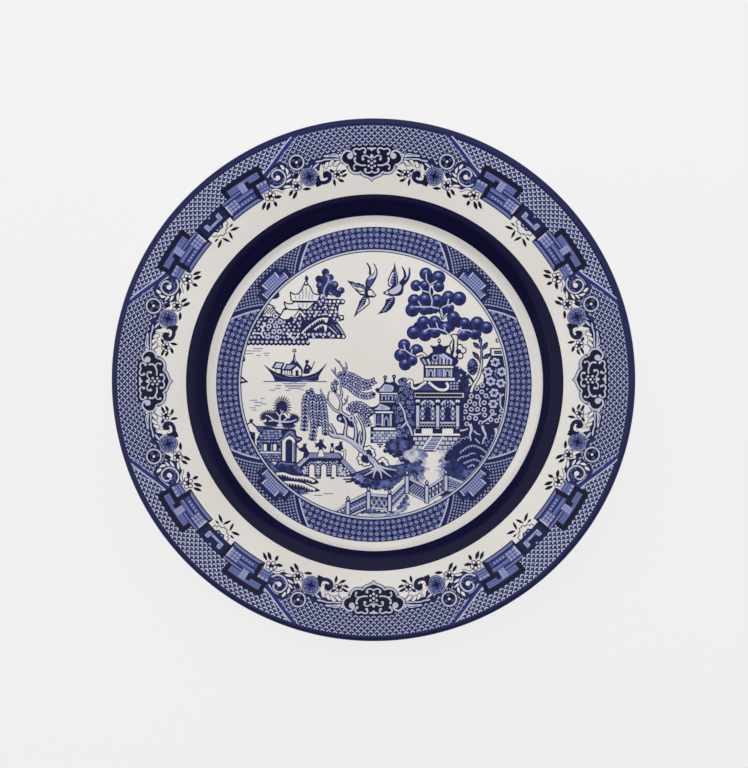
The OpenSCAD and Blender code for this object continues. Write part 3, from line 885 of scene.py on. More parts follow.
def main_pagoda(d):
    # the upper roof and its finial
    d.area(NAVY, [
        (28, 19.6), (29.9, 19.2), (31.2, 19), (32.9, 20.4), (34.8, 19), (36.3, 19.3), (38.3, 19.7),
        (36.6, 17.6), (36, 15.4), (29.6, 15.4), (29.5, 17.4)])
    d.dot(NAVY, 32.8, 21.6, 0.85, 1.3)
    d.dot(PAPER, 32.8, 21.7, 0.3, 0.6)
    d.blob(NAVY, [
        (29.4, 16), (27, 14.2), (23.2, 13.2), (24.4, 10.4), (26, 9), (33, 8.8), (40.2, 9), (42.4, 11.8),
        (40.6, 13.6), (36.4, 16), (33, 16.3)])
    d.rule(PALE, 1.05, (26.2, 10), (24.6, 12.6))
    d.rule(MIST, 1.05, (28.2, 10), (27, 12.6))
    for k, (top, low) in enumerate(
            ((29, 29.8), (31.4, 31.3), (33.4, 33.2), (35.4, 35), (37.2, 36.6), (39.6, 38.4))):
        tile = [(low, 10), (top * 0.4 + low * 0.6, 12.6), (top * 0.3 + 23, 14.9)]
        d.rule((PALE, MIST)[k % 2], 1.05, *tile[:3 if k < 5 else 2])
    d.disc(30.8, 13.3, (NAVY, 2.1), (PALE, 1.6), (NAVY, 0.9))
    d.rule(MIST, 0.9, (34.4, 15.2), (36.6, 13.8), (38.6, 12.4))
    # the upper floor
    d.box(NAVY, 25, 1.2, 40.8, 9.6)
    d.boxes(PAPER, (25.9, 8.2, 39.8, 9.2), (25.2, 1.9, 40.5, 3.3))
    d.boxes(MIST, *[(x - 0.4, 3.8, x + 0.4, 7.7) for x in (26.7, 30.5, 35.1, 38.8)])
    d.box(LIGHT, 31.6, 3.9, 34.3, 7.6)
    d.rule(PALE, 0.5, (33, 4), (33, 7.5))
    for x in (28.6, 36.9):
        d.area(MIST, arch(x, 4, 7.4, 1.15))
        d.area(NAVY, arch(x, 4, 6.7, 0.6))
    # the lower roof
    d.area(NAVY, [
        (17, -1.2), (17.2, 2.4), (19.8, 2.4), (20.4, 0), (26.6, 1.8), (39, 1.6), (44.6, 1.2),
        (44.8, -3.6), (19.6, -3.6)])
    d.bricks(lambda i, j: PALE, 38.2, 0.2, 3, 3, 1.5, 1.4, 1.1, 0.9)
    d.area(BLUE, [(26.4, 0.6), (22.4, -2.8), (30, -2.9)])
    d.hatch(NAVY, 0.25, 6, (23.4, -2.9), (1.1, 0), (24.8, -0.9), (0.55, 0.2))
    d.line(PAPER, 1.3, [
        (27.6, 1.2), (30, -0.9), (32.4, -2.4), (35.2, -2.7), (37, -1.8), (37.1, -0.2), (36.2, 0.9)])
    d.box(BLACK, 20, -7, 45.6, -3.6)
    d.box(MIST, 20.6, -6.5, 45.1, -4.2)
    d.box(BLACK, 21, -6.1, 44.3, -4.7)
    for k in range(14):
        x = 21.9 + 1.65 * k
        d.box(MIST, x, -6.5, x + 0.5, -4.9)
        d.box(BLACK, x, -5.9, x + 0.9, -4.9)
    # the lower floor: columns, and windows between them
    d.box(NAVY, 19.8, -25.4, 45, -7)
    for x in (22.2, 32.1, 42):
        d.box(NAVY, x - 1.5, -24, x + 1.5, -22.2)
        d.boxes(MIST, (x - 0.75, -21, x + 0.75, -10.6), (x - 0.8, -22, x + 0.8, -21.5))
        d.dots(PAPER, (x - 0.6, -8.4, 0.55), (x + 0.6, -8.4, 0.55))
        d.rule(PAPER, 0.5, (x - 0.9, -7.9), (x + 0.9, -7.9))
    for x in (27.1, 37.1):
        for side in (-1, 1):
            d.leaf(MIST, x + side * 3.6, -10, x + side * 0.7, -7.7, 1.25)
            for out, y, w, h in (
                    (2.5, -12.1, 0.85, 1.05), (2.6, -14.6, 0.85, 1.1), (2.5, -17, 0.85, 0.85),
                    (1.25, -9.8, 0.5, 0.65), (2.6, -10.2, 0.5, 0.6), (3.5, -13.4, 0.4, 0.7),
                    (3.5, -15.9, 0.4, 0.7), (1.7, -13.4, 0.4, 0.7), (1.7, -15.9, 0.4, 0.7),
                    (1.2, -11.2, 0.45, 0.5)):
                d.diamond(MIST if w > 0.6 else PALE, x + side * out, y, w, h)
        d.diamond(MIST, x, -8.7, 0.55, 0.8)
        d.area(PALE, [(x - 0.4, -10.7), (x, -10.1), (x + 0.4, -10.7), (x, -11.2)])
        d.area(NAVY, arch(x, -18.3, -11.7, 1.35))
        d.box(MIST, x - 3.7, -19.4, x + 3.7, -18.6)
        d.rule(MIST, 0.4, *[(x - 3.6 + 0.72 * k, -20.9 + 0.9 * (k % 2)) for k in range(11)])
    d.boxes(
        PAPER, (24.2, -24.8, 29.6, -21.9), (34.4, -24.8, 39.8, -21.9), (20.2, -24.8, 21, -22.2),
        (19.6, -25.4, 44.6, -24.4))
    # the brick base and its steps
    d.box(NAVY, 19.4, -32.4, 44.4, -25.4)
    d.bricks(
        lambda i, j: MIST, 19.9, -27.8, 10, 3, 2.5, 2.1, 2.0, 1.5, shift=1.1, keep=lambda x, j: x < 42.6)
    d.area(NAVY, [(28.6, -25.6), (35.4, -25.6), (31.2, -33.4), (23.4, -33.4)])
    for k in range(7):
        y = -26.6 - 0.95 * k
        d.rule(PALE if k % 2 else MIST, 0.6, (28.9 - 0.72 * k, y), (34.4 - 0.68 * k, y))
    d.rules(PAPER, 0.8, [(29.1, -25.8), (24.2, -32.4)], [(34.9, -25.9), (30.5, -33)])


def eave_scroll(d):
    """The end of the pagoda's lower eave, which curls up before the small tree."""
    d.edged(2.1, 1.15, [
        (17.2, 0.6), (17.9, 2), (19.2, 1.4), (19.2, -0.6), (20, -1.9), (21.8, -1.9), (24, -0.4),
        (26.4, 1.3)], ink=PAPER)


# ---- the trees on the right
def petals(d, x, y, r=1.55, n=6, size=0.95):
    """A blossom of n petals."""
    d.dot(NAVY, x, y, r + size + 0.4)
    for k in range(n):
        a = 360 * (k + 0.4 * math.sin(x)) / n
        d.dot(MIST, *polar(x, y, r, a), size, size * 0.75)
        d.dot(LIGHT, *polar(x, y, r * 0.7, a), 0.3)
    d.dot(NAVY, x, y, 0.7)


def right_trees(d):
    d.area(NAVY, [
        (44, -7), (44.6, -3), (47, -1), (50, -1.5), (54.6, 1), (55.4, 8), (57.4, 12), (58.6, 14.4),
        (62.4, 14.6), (65, 14), (67, 0), (64, -18), (60, -28), (50, -28), (44, -25)])
    d.blob(DEEP, [
        (39.4, 8.4), (42.6, 9), (45, 7), (48, 4.8), (50.4, 1), (48.6, -3), (46.4, -8), (44.6, -10),
        (44.6, -4), (41, 1.4), (40.2, 4.6)])
    for x, y, r in (
            (42.6, 8, 0.9), (43.9, 4.8, 0.9), (42.6, 1.6, 0.9), (46.8, 5.4, 0.8), (48.2, 1.4, 0.7)):
        d.dot(MIST, x, y, r, r * 0.6, 50)
    d.line(NAVY, 0.9, [(41.3, 8.6), (43.4, 6.2), (44.8, 4.2), (44, 1.4), (46.4, 0)])
    d.line(PAPER, 0.7, [(47.6, 2.8), (49, 0.8), (47.4, -0.4)])
    for x, y in ((43.1, 18.5), (44.7, 16.9), (43.2, 14.2), (42.7, 16.4)):
        d.dot(NAVY, x, y, 1.75)
    for x, y in ((43.1, 18.5), (44.7, 16.9), (43.2, 14.3)):
        d.dot(PAPER, x, y, 1.15)
    d.dot(NAVY, 42.5, 16.4, 0.9)
    n = 18
    spiky = [
        (49.4 + (3.0 if k % 2 else 2.4) * math.cos(2 * math.pi * k / (2 * n)), 8.8 + (4.6 if k % 2
        else 3.9) * math.sin(2 * math.pi * k / (2 * n))) for k in range(2 * n)]
    d.area(NAVY, spiky)
    d.dot(BLUE, 49, 10.6, 1.5, 1.6)
    d.dot(LIGHT, 48.4, 11.4, 0.6)
    for k in range(9):
        d.dot((LIGHT, BLUE)[k % 2], 49.4 + 1.7 * math.sin(2.1 * k), 5.7 + 0.75 * k, 0.42)
    d.line(NAVY, 1.3, [(50.2, 13.6), (52.4, 11.8), (53.3, 8.3), (52, 5.6)])
    d.line(PAPER, 0.6, [(50.2, 13.2), (52.2, 11.4), (52.9, 8.3), (51.8, 5.6)])
    stem = [
        (48.6, -3.8), (49.8, -0.4), (52.3, 3.8), (53.4, 7.8), (53.9, 12.6), (53.7, 17.8), (53.3, 23.2)]
    d.line(NAVY, 2.1, stem, tip=1.1)
    d.line(PAPER, 1.15, stem[:5], tip=0.4)
    d.line(LIGHT, 0.45, stem[4:])
    for x0, y0, x1, y1, w in (
            (49.6, 21, 53, 17.8, 1.9), (56.8, 21.2, 54.4, 17.2, 1.9), (49.2, 16.4, 53, 12.4, 1.9),
            (58.4, 15.4, 54.4, 12.8, 1.9), (53.1, 23.8, 53.4, 20, 1.6)):
        d.leaf(NAVY, x0, y0, x1, y1, w + 0.5)
        d.rule(LIGHT, 0.25, (x0 * 0.7 + x1 * 0.3, y0 * 0.7 + y1 * 0.3), (x1, y1))
    d.box(NAVY, 58, 13.9, 66, 18.2)
    d.box(PAPER, 58.8, 14.5, 66, 17.6)
    d.box(NAVY, 60, 15.2, 66, 16.9)
    d.box(LIGHT, 60.4, 15.9, 66, 16.3)
    d.line(NAVY, 0.7, [(62.4, 23), (61.1, 22.4), (61.3, 21.2), (63.3, 21.4), (63.9, 18)])
    for x, y in (
            (60.6, 11.1), (57, 6.4), (63.9, 6.4), (58.4, 1.6), (63.4, 0.7), (60.1, -4.1), (59.6, -9.6)):
        petals(d, x, y)
    d.line(LIGHT, 0.5, [(61, 8), (60.6, 5), (62, 3)])
    for x, y in ((56.6, -2.2), (56, 3.8), (60.8, 6.8), (62, -7.4), (57.4, -6.6), (62.6, 10.4)):
        d.dot(PALE, x, y, 0.6)
    rings(d, [
        (51.5, -1.9), (54.2, -0.4), (54, -3.6), (48.8, -5.7), (51.8, -6), (56, -5.6), (48, -8.4),
        (50.5, -9.6), (55.2, -9), (46.2, -10.6), (48.8, -12.3), (51.8, -12.3), (55.1, -12.4),
        (45.7, -13.5), (44.6, -16.7), (47.7, -16.5), (50.9, -16.8), (55.4, -15.1), (58.5, -17.4),
        (61.4, -17.9), (63.3, -15.9), (63.9, -12.9), (56.9, -20.1), (59.1, -13.4), (46.6, -19.6),
        (53.4, -19)], 1.2, 0.6, 0.3)
    d.line(
        MIST, 0.75, [(54.6, -18.6), (57.2, -17), (58.8, -15.2), (61.3, -14.6)],
        [(47.5, -14.4), (50.6, -15), (53.7, -14.1)],
        [(63.2, -4.4), (63.2, -10.4), (64, -11.4)],
        [(63.2, -6), (65, -4.6)],
        [(53.4, -6.6), (52.8, -9), (53.4, -11)])


# ---- the small pagoda and the tree beside it
def small_pagoda(d):
    for x, y in ((6, 3.5), (10.4, 3.9)):
        d.rule(NAVY, 1.1, (x, y), (x, 0.4))
        d.disc(x, y, (NAVY, 1), (PALE, 0.4))
    d.line(NAVY, 1.8, [(5.6, 1.9), (8.2, 0.8), (10.8, 1.9)])
    d.line(PAPER, 0.8, [(6.3, 1.9), (8.2, 1.3), (10, 1.9)])
    d.area(NAVY, [
        (5.2, 0.6), (11, 0.8), (13.6, -1), (13.6, -4), (2, -4.3), (0.9, -2.6), (1.8, -1.9), (3.2, -1.9)])
    d.blob(MIST, [
        (5.6, -0.2), (8, -0.3), (9.9, -1), (9.7, -3.4), (6, -3.6), (3, -3.5), (3.4, -2.6), (4.6, -1.6)])
    d.blob(PALE, [(6, -0.5), (8, -0.6), (9.2, -1.2), (9.4, -3.2), (6, -3.3), (5.2, -1.8)])
    d.box(NAVY, 3.1, -9.2, 12.4, -4)
    d.box(PAPER, 3.7, -4.9, 12, -4.3)
    d.box(MIST, 3.6, -8.9, 12, -8.4)
    for x in (5.4, 8.7):
        d.box(PALE, x - 1.3, -7.9, x + 1.3, -5.4)
        d.box(NAVY, x - 0.6, -7.9, x + 0.6, -5.9)
    d.box(PALE, 10.8, -8, 11.4, -5.4)
    d.area(NAVY, [
        (3.7, -9), (11.6, -9), (12.4, -13.4), (0.9, -13.4), (-1.8, -12.4), (-1.6, -11.3), (0.4, -11.2),
        (1.8, -10.6)])
    d.blob(MIST, [
        (3.6, -9.8), (5.4, -10.4), (7.6, -11.2), (8.6, -12.2), (7, -12.8), (3, -12.7), (0.6, -12.4),
        (2.4, -11.4)])
    d.blob(PALE, [(3.8, -10.4), (5.2, -10.8), (6.6, -11.8), (5.4, -12.5), (3.6, -12.2)])
    d.box(NAVY, 0.4, -21.4, 12.6, -13.2)
    d.box(PAPER, 1.2, -14.3, 10.8, -13.5)
    d.boxes(MIST, *[(x - 0.45, -20.8, x + 0.45, -14.8) for x in (0.9, 4.7, 8.8)])
    d.box(BLUE, 1.9, -19.8, 3.6, -15.4)
    d.area(PALE, [(5.4, -20.8), (5.4, -17.6), (6.6, -15.6), (7.9, -17.6), (7.9, -20.8)])
    d.area(NAVY, [(5.9, -20.8), (5.9, -18), (6.6, -17), (7.3, -18), (7.3, -20.8)])
    d.rule(PALE, 0.5, (0.4, -19.9), (4.4, -19.9))
    d.box(NAVY, -1.2, -29.2, 12.4, -21)
    d.box(PAPER, 0.4, -22.7, 12.4, -21.6)
    d.bricks(
        lambda i, j: MIST if (i + j) % 3 else PALE, -0.9, -24.6, 6, 4, 2.3, 1.35, 1.9, 1.1, shift=1.1)
    d.box(NAVY, 17, -35, 20, -20.4)


def small_tree(d):
    d.blob(NAVY, [
        (12.4, 2.2), (15.6, 3.4), (17.4, 1), (19, -1.6), (20.6, -4), (20.6, -22), (19.6, -26),
        (15.6, -27), (12, -24.4), (10.8, -18), (9.8, -12), (11.6, -6), (13.4, -2)])
    sprigs = [
        (14, -2.4), (17, -2.7), (19, -3.6), (11.6, -5.5), (13.8, -5.6), (17.3, -5), (19, -6.5),
        (15.4, -7), (12.3, -8.9), (17.5, -8.9), (19.4, -8.9), (10.6, -11.7), (12.9, -12), (11.6, -14.1),
        (12.3, -16.2), (18, -15.5), (12, -18.4), (18.5, -17.9), (13.2, -20.8), (11.8, -22.1),
        (14.2, -25.5), (16.1, -25.5), (15.9, 2.6), (13, 1.6), (14.2, 0.2), (15.9, -1), (15.9, -3.9),
        (14.6, -9.2), (17.9, -11.4), (19.8, -11.6), (16.4, -13.6), (19.6, -13.6), (14, -14.6),
        (14, -17.6), (19.8, -19.6), (14.9, -22.9), (12.9, -23.9), (17.3, -23.4), (15.8, 0.8),
        (17.7, -0.6), (12.4, -7.2), (18.4, -21.8)]
    for k, (x, y) in enumerate(sprigs):
        d.disc(x, y, (LIGHT if k % 3 else PALE, 0.88), (NAVY, 0.46))
    for k in range(40):
        d.dot(BLUE if k % 2 else LIGHT, 11.6 + (7.4 * k) % 8.6, 0.6 - 0.66 * k, 0.36)
    d.edged(
        1.6, 0.85, [(18.6, -21.6), (17.4, -19.4), (16.2, -17.4), (15.6, -14.1), (14.2, -11.2),
         (13, -9.1)],
        [(14.2, -21.6), (15.7, -19.8), (16.6, -19)],
        [(16.9, -19.6), (18.6, -22), (19.4, -25.4)])


# ---- the willow
def braid(d, points, width, step=1.22):
    """A hanging frond: pairs of pale leaves that droop from a middle line, on a dark ground."""
    path = curve(points)
    d.area(NAVY, ribbon(path, width * 0.85, width * 0.6))
    gone, turn = 0, 0
    for (ax, ay), (bx, by) in zip(path[:-1], path[1:]):
        size = math.dist((ax, ay), (bx, by)) or 1
        gone += size
        if gone < step:
            continue
        gone, turn = 0, turn + 1
        tx, ty = (bx - ax) / size, (by - ay) / size
        for side in (-1, 1):
            ox, oy = ax - ty * side * width * 0.5 + tx * 0.7, ay + tx * side * width * 0.5 + ty * 0.7
            ix, iy = ax - ty * side * 0.12 - tx * 0.9, ay + tx * side * 0.12 - ty * 0.9
            d.leaf(NAVY, ox + tx * 0.3 - ty * side * 0.3, oy + ty * 0.3 + tx * side * 0.3, ix, iy, 1.6)
            d.leaf(PALE if turn % 3 else MIST, ox, oy, ix, iy, 0.8)


def willow(d):
    trunk = [
        (3.4, -42.6), (1.2, -39.6), (-0.9, -36.9), (-5.3, -32.9), (-8.4, -30), (-11, -28.1),
        (-14.9, -26.1), (-19.6, -25.5), (-22.4, -23.4)]
    limbs = ([
        (-13.8, -26.4), (-13.7, -23), (-13.2, -19.4), (-14.6, -16)], [(-9, -28.6), (-8.4, -25),
        (-8.8, -21), (-10.4, -17.4)], [(-5.6, -31.6), (-4.5, -27.6), (-4.4, -24), (-5.4, -19.6),
        (-8, -15.4)], [(-6.4, -31), (-6.8, -27), (-5.8, -23.2)], [(-18.4, -25.8), (-19.6, -22.4),
        (-21.4, -19.6)], [(-22.4, -23.6), (-24.4, -20)])
    twigs = ([
        (-12, -16.5), (-15.8, -14.1), (-19.1, -12.7), (-22, -9.3), (-24.6, -6.5), (-26.2, -2.2)],
        [(-15.8, -14.1), (-16.2, -12), (-15.8, -9.3), (-16.8, -6.5), (-18.4, -4.4), (-19.2, -1)],
        [(-16.2, -7), (-15.6, -4.6), (-16.4, -1)], [(-10.6, -17.4), (-8.4, -18.6), (-8.6, -21)])
    bare = ([
        (-14.2, 5.6), (-14.9, 7.8), (-16.5, 10.2), (-18.9, 12.6)], [(-13.9, 5.6), (-13, 8.3),
        (-13.8, 11)], [(-16.6, 10.2), (-16.9, 11.8)], [(-15, 7.8), (-13.2, 8.2)], [(-17, 2.8),
        (-19.1, 5.4), (-20.8, 7.5)], [(-18.9, 5.2), (-18.8, 8.4)], [(-15, -10.3), (-13.2, -8.9),
        (-12.5, -5.6)], [(-13.2, -8.9), (-14.2, -7)], [(-22, -9), (-22.4, -6), (-21.4, -3.4)])
    for place in ((-16.2, -16.8), (-10.8, -17)):
        d.dot(NAVY, *place, 2)
    d.blob(NAVY, [(-17, -15), (-13, -15.4), (-9, -18), (-10, -21.6), (-13.6, -19.8), (-16.4, -18.6)])
    d.line(NAVY, 2.3, *limbs, tip=1.6)
    d.line(NAVY, 2.1, *twigs, tip=0.8)
    d.line(NAVY, 3.8, trunk, tip=2.5)
    for path in bare:
        d.line(NAVY, 1.05, path, tip=0.6)
        d.line(PALE, 0.35, path, tip=0.15)
    d.line(MIST, 1.0, *limbs, tip=0.6)
    d.line(MIST, 0.95, *twigs, tip=0.25)
    d.line(MIST, 2.4, trunk, tip=1.2)
    d.line(PALE, 0.6, [(0.4, -39.8), (-4.6, -35), (-9.8, -30.2), (-15, -27), (-20, -26.1)])
    d.line(LIGHT, 0.3, [(0.9, -38.6), (-3.6, -34.2), (-8, -30.6)])
    d.dot(MIST, -10.8, -16.8, 1.5)
    d.dot(NAVY, -10.7, -16.9, 0.6)
    d.dot(MIST, -16.4, -17.2, 0.8)
    for frond, width in (
            ([(-29.5, -3.6), (-32.2, -4.9), (-33.6, -9), (-33.7, -16), (-34.2, -23.4)], 3.5),
            ([(-27, -5), (-26.6, -10), (-26.8, -16), (-26.9, -21)], 3.1), ([(-28.6, -4.8), (-30, -9),
            (-29.8, -15), (-29.2, -21), (-30.2, -28.2)], 3.5), ([(-26, -5), (-24.8, -10), (-24, -16),
            (-23.6, -21), (-23.6, -25.6)], 3.1)):
        braid(d, frond, width)
    for frond, width in (
            ([(-17.4, 4.2), (-14, 4.9), (-9.6, 3.6), (-5.4, 1.2), (-1.8, 0.6), (1, 1.9)], 2.9),
            ([(-16.8, 2.4), (-13.6, 2.7), (-9.6, 0.6), (-5, -1.6), (-1, -0.6)], 2.8), ([(-16.4, 0.4),
            (-12.6, -0.6), (-9, -3.6), (-5.6, -5.6), (-2, -5.8), (1.2, -4.6)], 2.9), ([(-17.6, 1.4),
            (-19.6, -0.6), (-18.6, -4.4)], 2.4), ([(-12, -13.4), (-10.6, -10.6), (-7, -10), (-3.2, -12),
            (-0.2, -15.4)], 2.9), ([(-11.4, -14.2), (-8.4, -12.6), (-5.6, -14), (-3.6, -17), (-1.8, -21)],
            2.7), ([(-10, -12.4), (-7, -12.4), (-4, -14.6), (-1.6, -16.4)], 2.4)):
        braid(d, frond, width)
    d.line(
        MIST, 1.3, [(1.6, -40.6), (-0.6, -43.4), (-4.4, -45.4)],
        [(1.8, -41.6), (0.8, -44), (0.1, -46.6)],
        [(2.8, -41.8), (4, -44.4), (4.4, -46.9)],
        [(3, -41.2), (6.4, -44), (9.2, -45.9)],
        [(3, -40.6), (7.4, -42), (11.8, -42.6)], tip=0.3)


def knobby(d, places, cores):
    """White foliage with a scalloped dark outline."""
    for x, y, r in places:
        d.dot(NAVY, x, y, r + 0.5)
    d.dots(PAPER, *places)
    d.dots(NAVY, *cores)


# ---- the ground, its washes and the rocks
def wash(d, ink, points, ragged=0.55):
    """A brushed patch of ground with a ragged edge."""
    d.area(ink, [
        (x + ragged * math.sin(2.7 * y + x), y + ragged * math.sin(2.3 * x - 1.4 * y)) for x,
        y in curve(points, True)])


def ground(d):
    wash(d, SOFT, [
        (17, -31.6), (22, -31.8), (25.6, -33), (27, -35.4), (25.4, -37), (27.6, -38.6), (26, -40),
        (27.6, -42.4), (25.4, -44), (26, -46.4), (23, -49.2), (18, -46), (14, -48), (11, -40)])
    wash(d, WASH, [
        (9, -40.5), (16, -39.6), (19, -38.6), (22.4, -37.4), (24.6, -38), (24, -40), (25.6, -42.6),
        (22.6, -44.4), (22, -47.6), (17, -44.8), (12.6, -49), (8.5, -53.2), (4, -52.2), (-1.5, -52),
        (-6.3, -50.5), (-10.6, -48.1), (-9.4, -44.6), (-4, -42.6)])
    d.area(NAVY, [
        (-8.6, -45.4), (-4.6, -44), (0, -42.4), (9, -42.4), (12, -43.6), (9.4, -46.8), (2, -48.2),
        (-3, -46.6)])
    wash(d, SOFT, [(-9.6, -45.2), (-6.6, -44.6), (-3.6, -46.4), (-5.6, -48.4), (-9, -47)])
    wash(d, DEEP, [
        (14.7, -25.8), (11.6, -26.2), (8.5, -27.6), (6.1, -29.2), (5.6, -31.4), (7, -33.8), (10.4, -36),
        (13.2, -36.4), (16, -34), (19.6, -32), (18.6, -27)])
    wash(d, WASH, [
        (14.6, -27), (11.6, -27.2), (8.8, -29), (8.6, -31.2), (12, -33), (15.6, -32.4), (17.2, -29.6)])
    wash(d, SOFT, [
        (14, -36), (16.6, -38.4), (21, -38.6), (24, -36.6), (23.6, -33.4), (19.6, -31.9), (16.4, -33.2)])
    for x, y, r in (
            (6.4, -33, 1.4), (8.8, -33.6, 1.3), (11, -35.2, 1.5), (13.4, -34.6, 1.6), (14.6, -37.4, 1.5),
            (16.8, -38.4, 1.4), (-10, -47.4, 1.3), (-7.6, -48.8, 1.4), (-5, -50.2, 1.6),
            (-2.2, -50.8, 1.5), (1.6, -51.8, 1.0)):
        d.dot(NAVY, x, y, r, r * 0.85)
    d.line(NAVY, 0.7, [
        (-10.4, -44.6), (-6, -43.2), (-1.4, -41.6), (3.2, -40.6), (10.9, -40.4), (18.5, -39)])
    for x, y in ((6.6, -32.4), (10.3, -34.6), (14.2, -36.9), (-6.4, -50.6)):
        d.dot(LIGHT, x, y, 0.6, 0.45)
    wash(d, SOFT, [
        (32.4, -32), (36, -32.8), (40, -34), (40, -46), (36, -48), (31.4, -47), (33, -44.6), (31, -43),
        (33.6, -42), (31.6, -40.6), (34, -39.6), (32.6, -37.8), (34, -36)])
    wash(d, DEEP, [
        (36.4, -34.6), (40, -33.8), (44, -36), (50, -38), (54.6, -34), (56, -36), (50, -44.6),
        (45.6, -48.8), (41, -47.2), (37.4, -45.8), (34.4, -46.4), (36.4, -43), (34.6, -41.4), (37.4, -39),
        (35.6, -37)])
    wash(d, WASH, [
        (43, -43.6), (48, -42), (51, -40.8), (49.6, -45), (45.6, -48.8), (42.6, -47.4), (44, -45.6)])
    wash(d, WASH, [
        (-10, -62.6), (-2, -62), (8.6, -63.2), (13, -60), (16.8, -55), (18, -56.6), (16, -59.4),
        (13.6, -62), (8, -65), (-4, -64.6), (-12, -64.6)])
    wash(d, SOFT, [
        (-12, -64.6), (-2, -64.2), (8, -64), (14, -61.4), (17.6, -57.6), (18.6, -58.6), (16, -62.4),
        (9, -66.6), (-2, -67), (-12, -66.4)])
    wash(d, WASH, [
        (27, -60.4), (31, -58.4), (35.8, -54.6), (41, -53.4), (39, -56.4), (34, -59), (29, -61.4)])
    d.area(NAVY, [(33, -55.4), (36.4, -53), (41.4, -53.2), (38, -55.2)])
    for x, y, w in (
            (-27, -46.6, 2.6), (-20, -46.6, 2), (-12.6, -47.2, 4), (-12, -48.4, 3), (3.6, -29.9, 3),
            (3.6, -31, 1.4)):
        d.rule(WASH, 0.9, (x - w / 2, y), (x + w / 2, y))


def rocks(d):
    d.blob(NAVY, [
        (42, -22), (50, -20), (62, -20), (64, -26), (58, -34), (53, -40), (48, -42.4), (44, -40),
        (41, -37.6), (38.4, -34.4), (37.4, -32.6), (41, -28.6), (43.4, -25.6)])
    speckled(d, NAVY, LIGHT, [(55, -26), (62.6, -22.6), (62, -28), (58, -33.6), (54.4, -30.6)], 2.0, 0.55)
    for x, y, r in (
            (38.4, -32.9, 1.4), (40.6, -31, 1.4), (42.4, -29.6, 1.4), (44.6, -27.8, 1.4),
            (46.6, -27.2, 1.3)):
        d.dot(NAVY, x, y, r + 0.3)
        d.rule(PALE, 0.5, *arc(x, y, r * 0.85, start=20, end=190))
    jagged(d, [
        (43, -33.8), (44.9, -32.4), (46.8, -31), (49.6, -30.2), (52.5, -31), (54.9, -32.4), (57, -34.3)],
        0.5, 1.0, ink=PALE)
    jagged(d, [(42, -37.8), (43.4, -36.2), (46.8, -35.2), (49.1, -34), (51, -34.4)], 0.45, 0.8, ink=PALE)
    jagged(d, [(44.9, -39.2), (47.2, -38.1), (50.6, -37.1), (53, -38.3)], 0.55, 0.8, ink=PALE)
    jagged(d, [(47, -41), (49.4, -39.8), (50.6, -40.6)], 0.6, 0.7, ink=PALE)
    jagged(d, [(53.4, -35.2), (55.4, -36.2)], 0.6, 0.7, ink=PALE)
    for path, w, t in (
            ([(48.2, -19.6), (48.9, -22.4), (48.1, -24.8), (48.7, -27.9)], 1.5, 0.5), ([(54.2, -20.4),
            (54.9, -22.8), (56, -25.2), (55, -27.2), (54.2, -29.6)], 1.5, 0.5), ([(43.2, -22.9),
            (45.3, -22.6), (47.2, -21.9)], 0.9, 0.5), ([(50.1, -22.9), (51.6, -24.4), (53.4, -24.9)], 0.8,
            0.4), ([(50.8, -26.9), (53, -29.3)], 0.7, 0.4), ([(60.8, -21.6), (61.2, -24), (60.4, -26.4)],
            1.6, 0.5)):
        d.line(MIST, w, path, tip=t)


# ---- the tea house, its tree and the shore
def fan(d, x, y, rx, ry, start, end, n):
    """A fan of foliage: a dark heart with a fringe of strokes."""
    d.area(NAVY, arc(x, y, rx * 0.62, ry * 0.62, start=start, end=end) + [(x, y)])
    for k in range(n):
        a = start + (end - start) * k / (n - 1)
        d.leaf(NAVY, *polar(x, y, rx * 0.45, a, ry * 0.45), *polar(x, y, rx * 1.16, a, ry * 1.16), 0.7)


def spiky_tree(d):
    fan(d, -45.1, -11.4, 4.2, 5, -50, 235, 19)
    fan(d, -51.1, -16.6, 4.8, 3.5, 55, 205, 13)
    fan(d, -49.6, -18.7, 4.6, 3, 190, 300, 10)
    fan(d, -41.5, -17.3, 4.8, 2.8, -45, 80, 11)
    fan(d, -41.8, -19.4, 3.8, 3, 215, 335, 10)
    d.blob(
        NAVY, [(-47.4, -9.4), (-43.2, -9.8), (-42.5, -11.6), (-43.2, -13.7), (-45.9, -15.2),
         (-47.9, -14.1), (-48, -11.2)],
        [(-53, -16.6), (-50.4, -15.2), (-48.2, -14.3), (-46.4, -15), (-44.2, -15.2), (-42.8, -16.8),
         (-39.4, -17.6), (-39.4, -20.4), (-43.8, -21.2), (-46, -19.4), (-48.8, -21), (-52, -20)])
    for limb, w, t in (
            ([(-45.9, -22.6), (-46.2, -18.7), (-46.2, -15.9)], 1.5, 0.7), ([(-46.2, -16.2),
            (-48.2, -13.9)], 0.75, 0.4), ([(-46.2, -16.2), (-44.5, -13.3)], 0.75, 0.5), ([(-45.5, -14),
            (-45.9, -12.7)], 0.5, 0.3), ([(-46.3, -18.7), (-49, -18.1), (-51.8, -18.5)], 1, 0.5),
            ([(-49.2, -18), (-51.6, -16), (-53.2, -15.7)], 0.8, 0.4), ([(-46, -18.7), (-42.5, -18.8),
            (-40, -18.5), (-37.9, -17.5)], 1, 0.5), ([(-44.2, -18.1), (-42.2, -16.6), (-40.8, -15.7)],
            0.7, 0.4)):
        d.line(MIST, w, limb, tip=t)


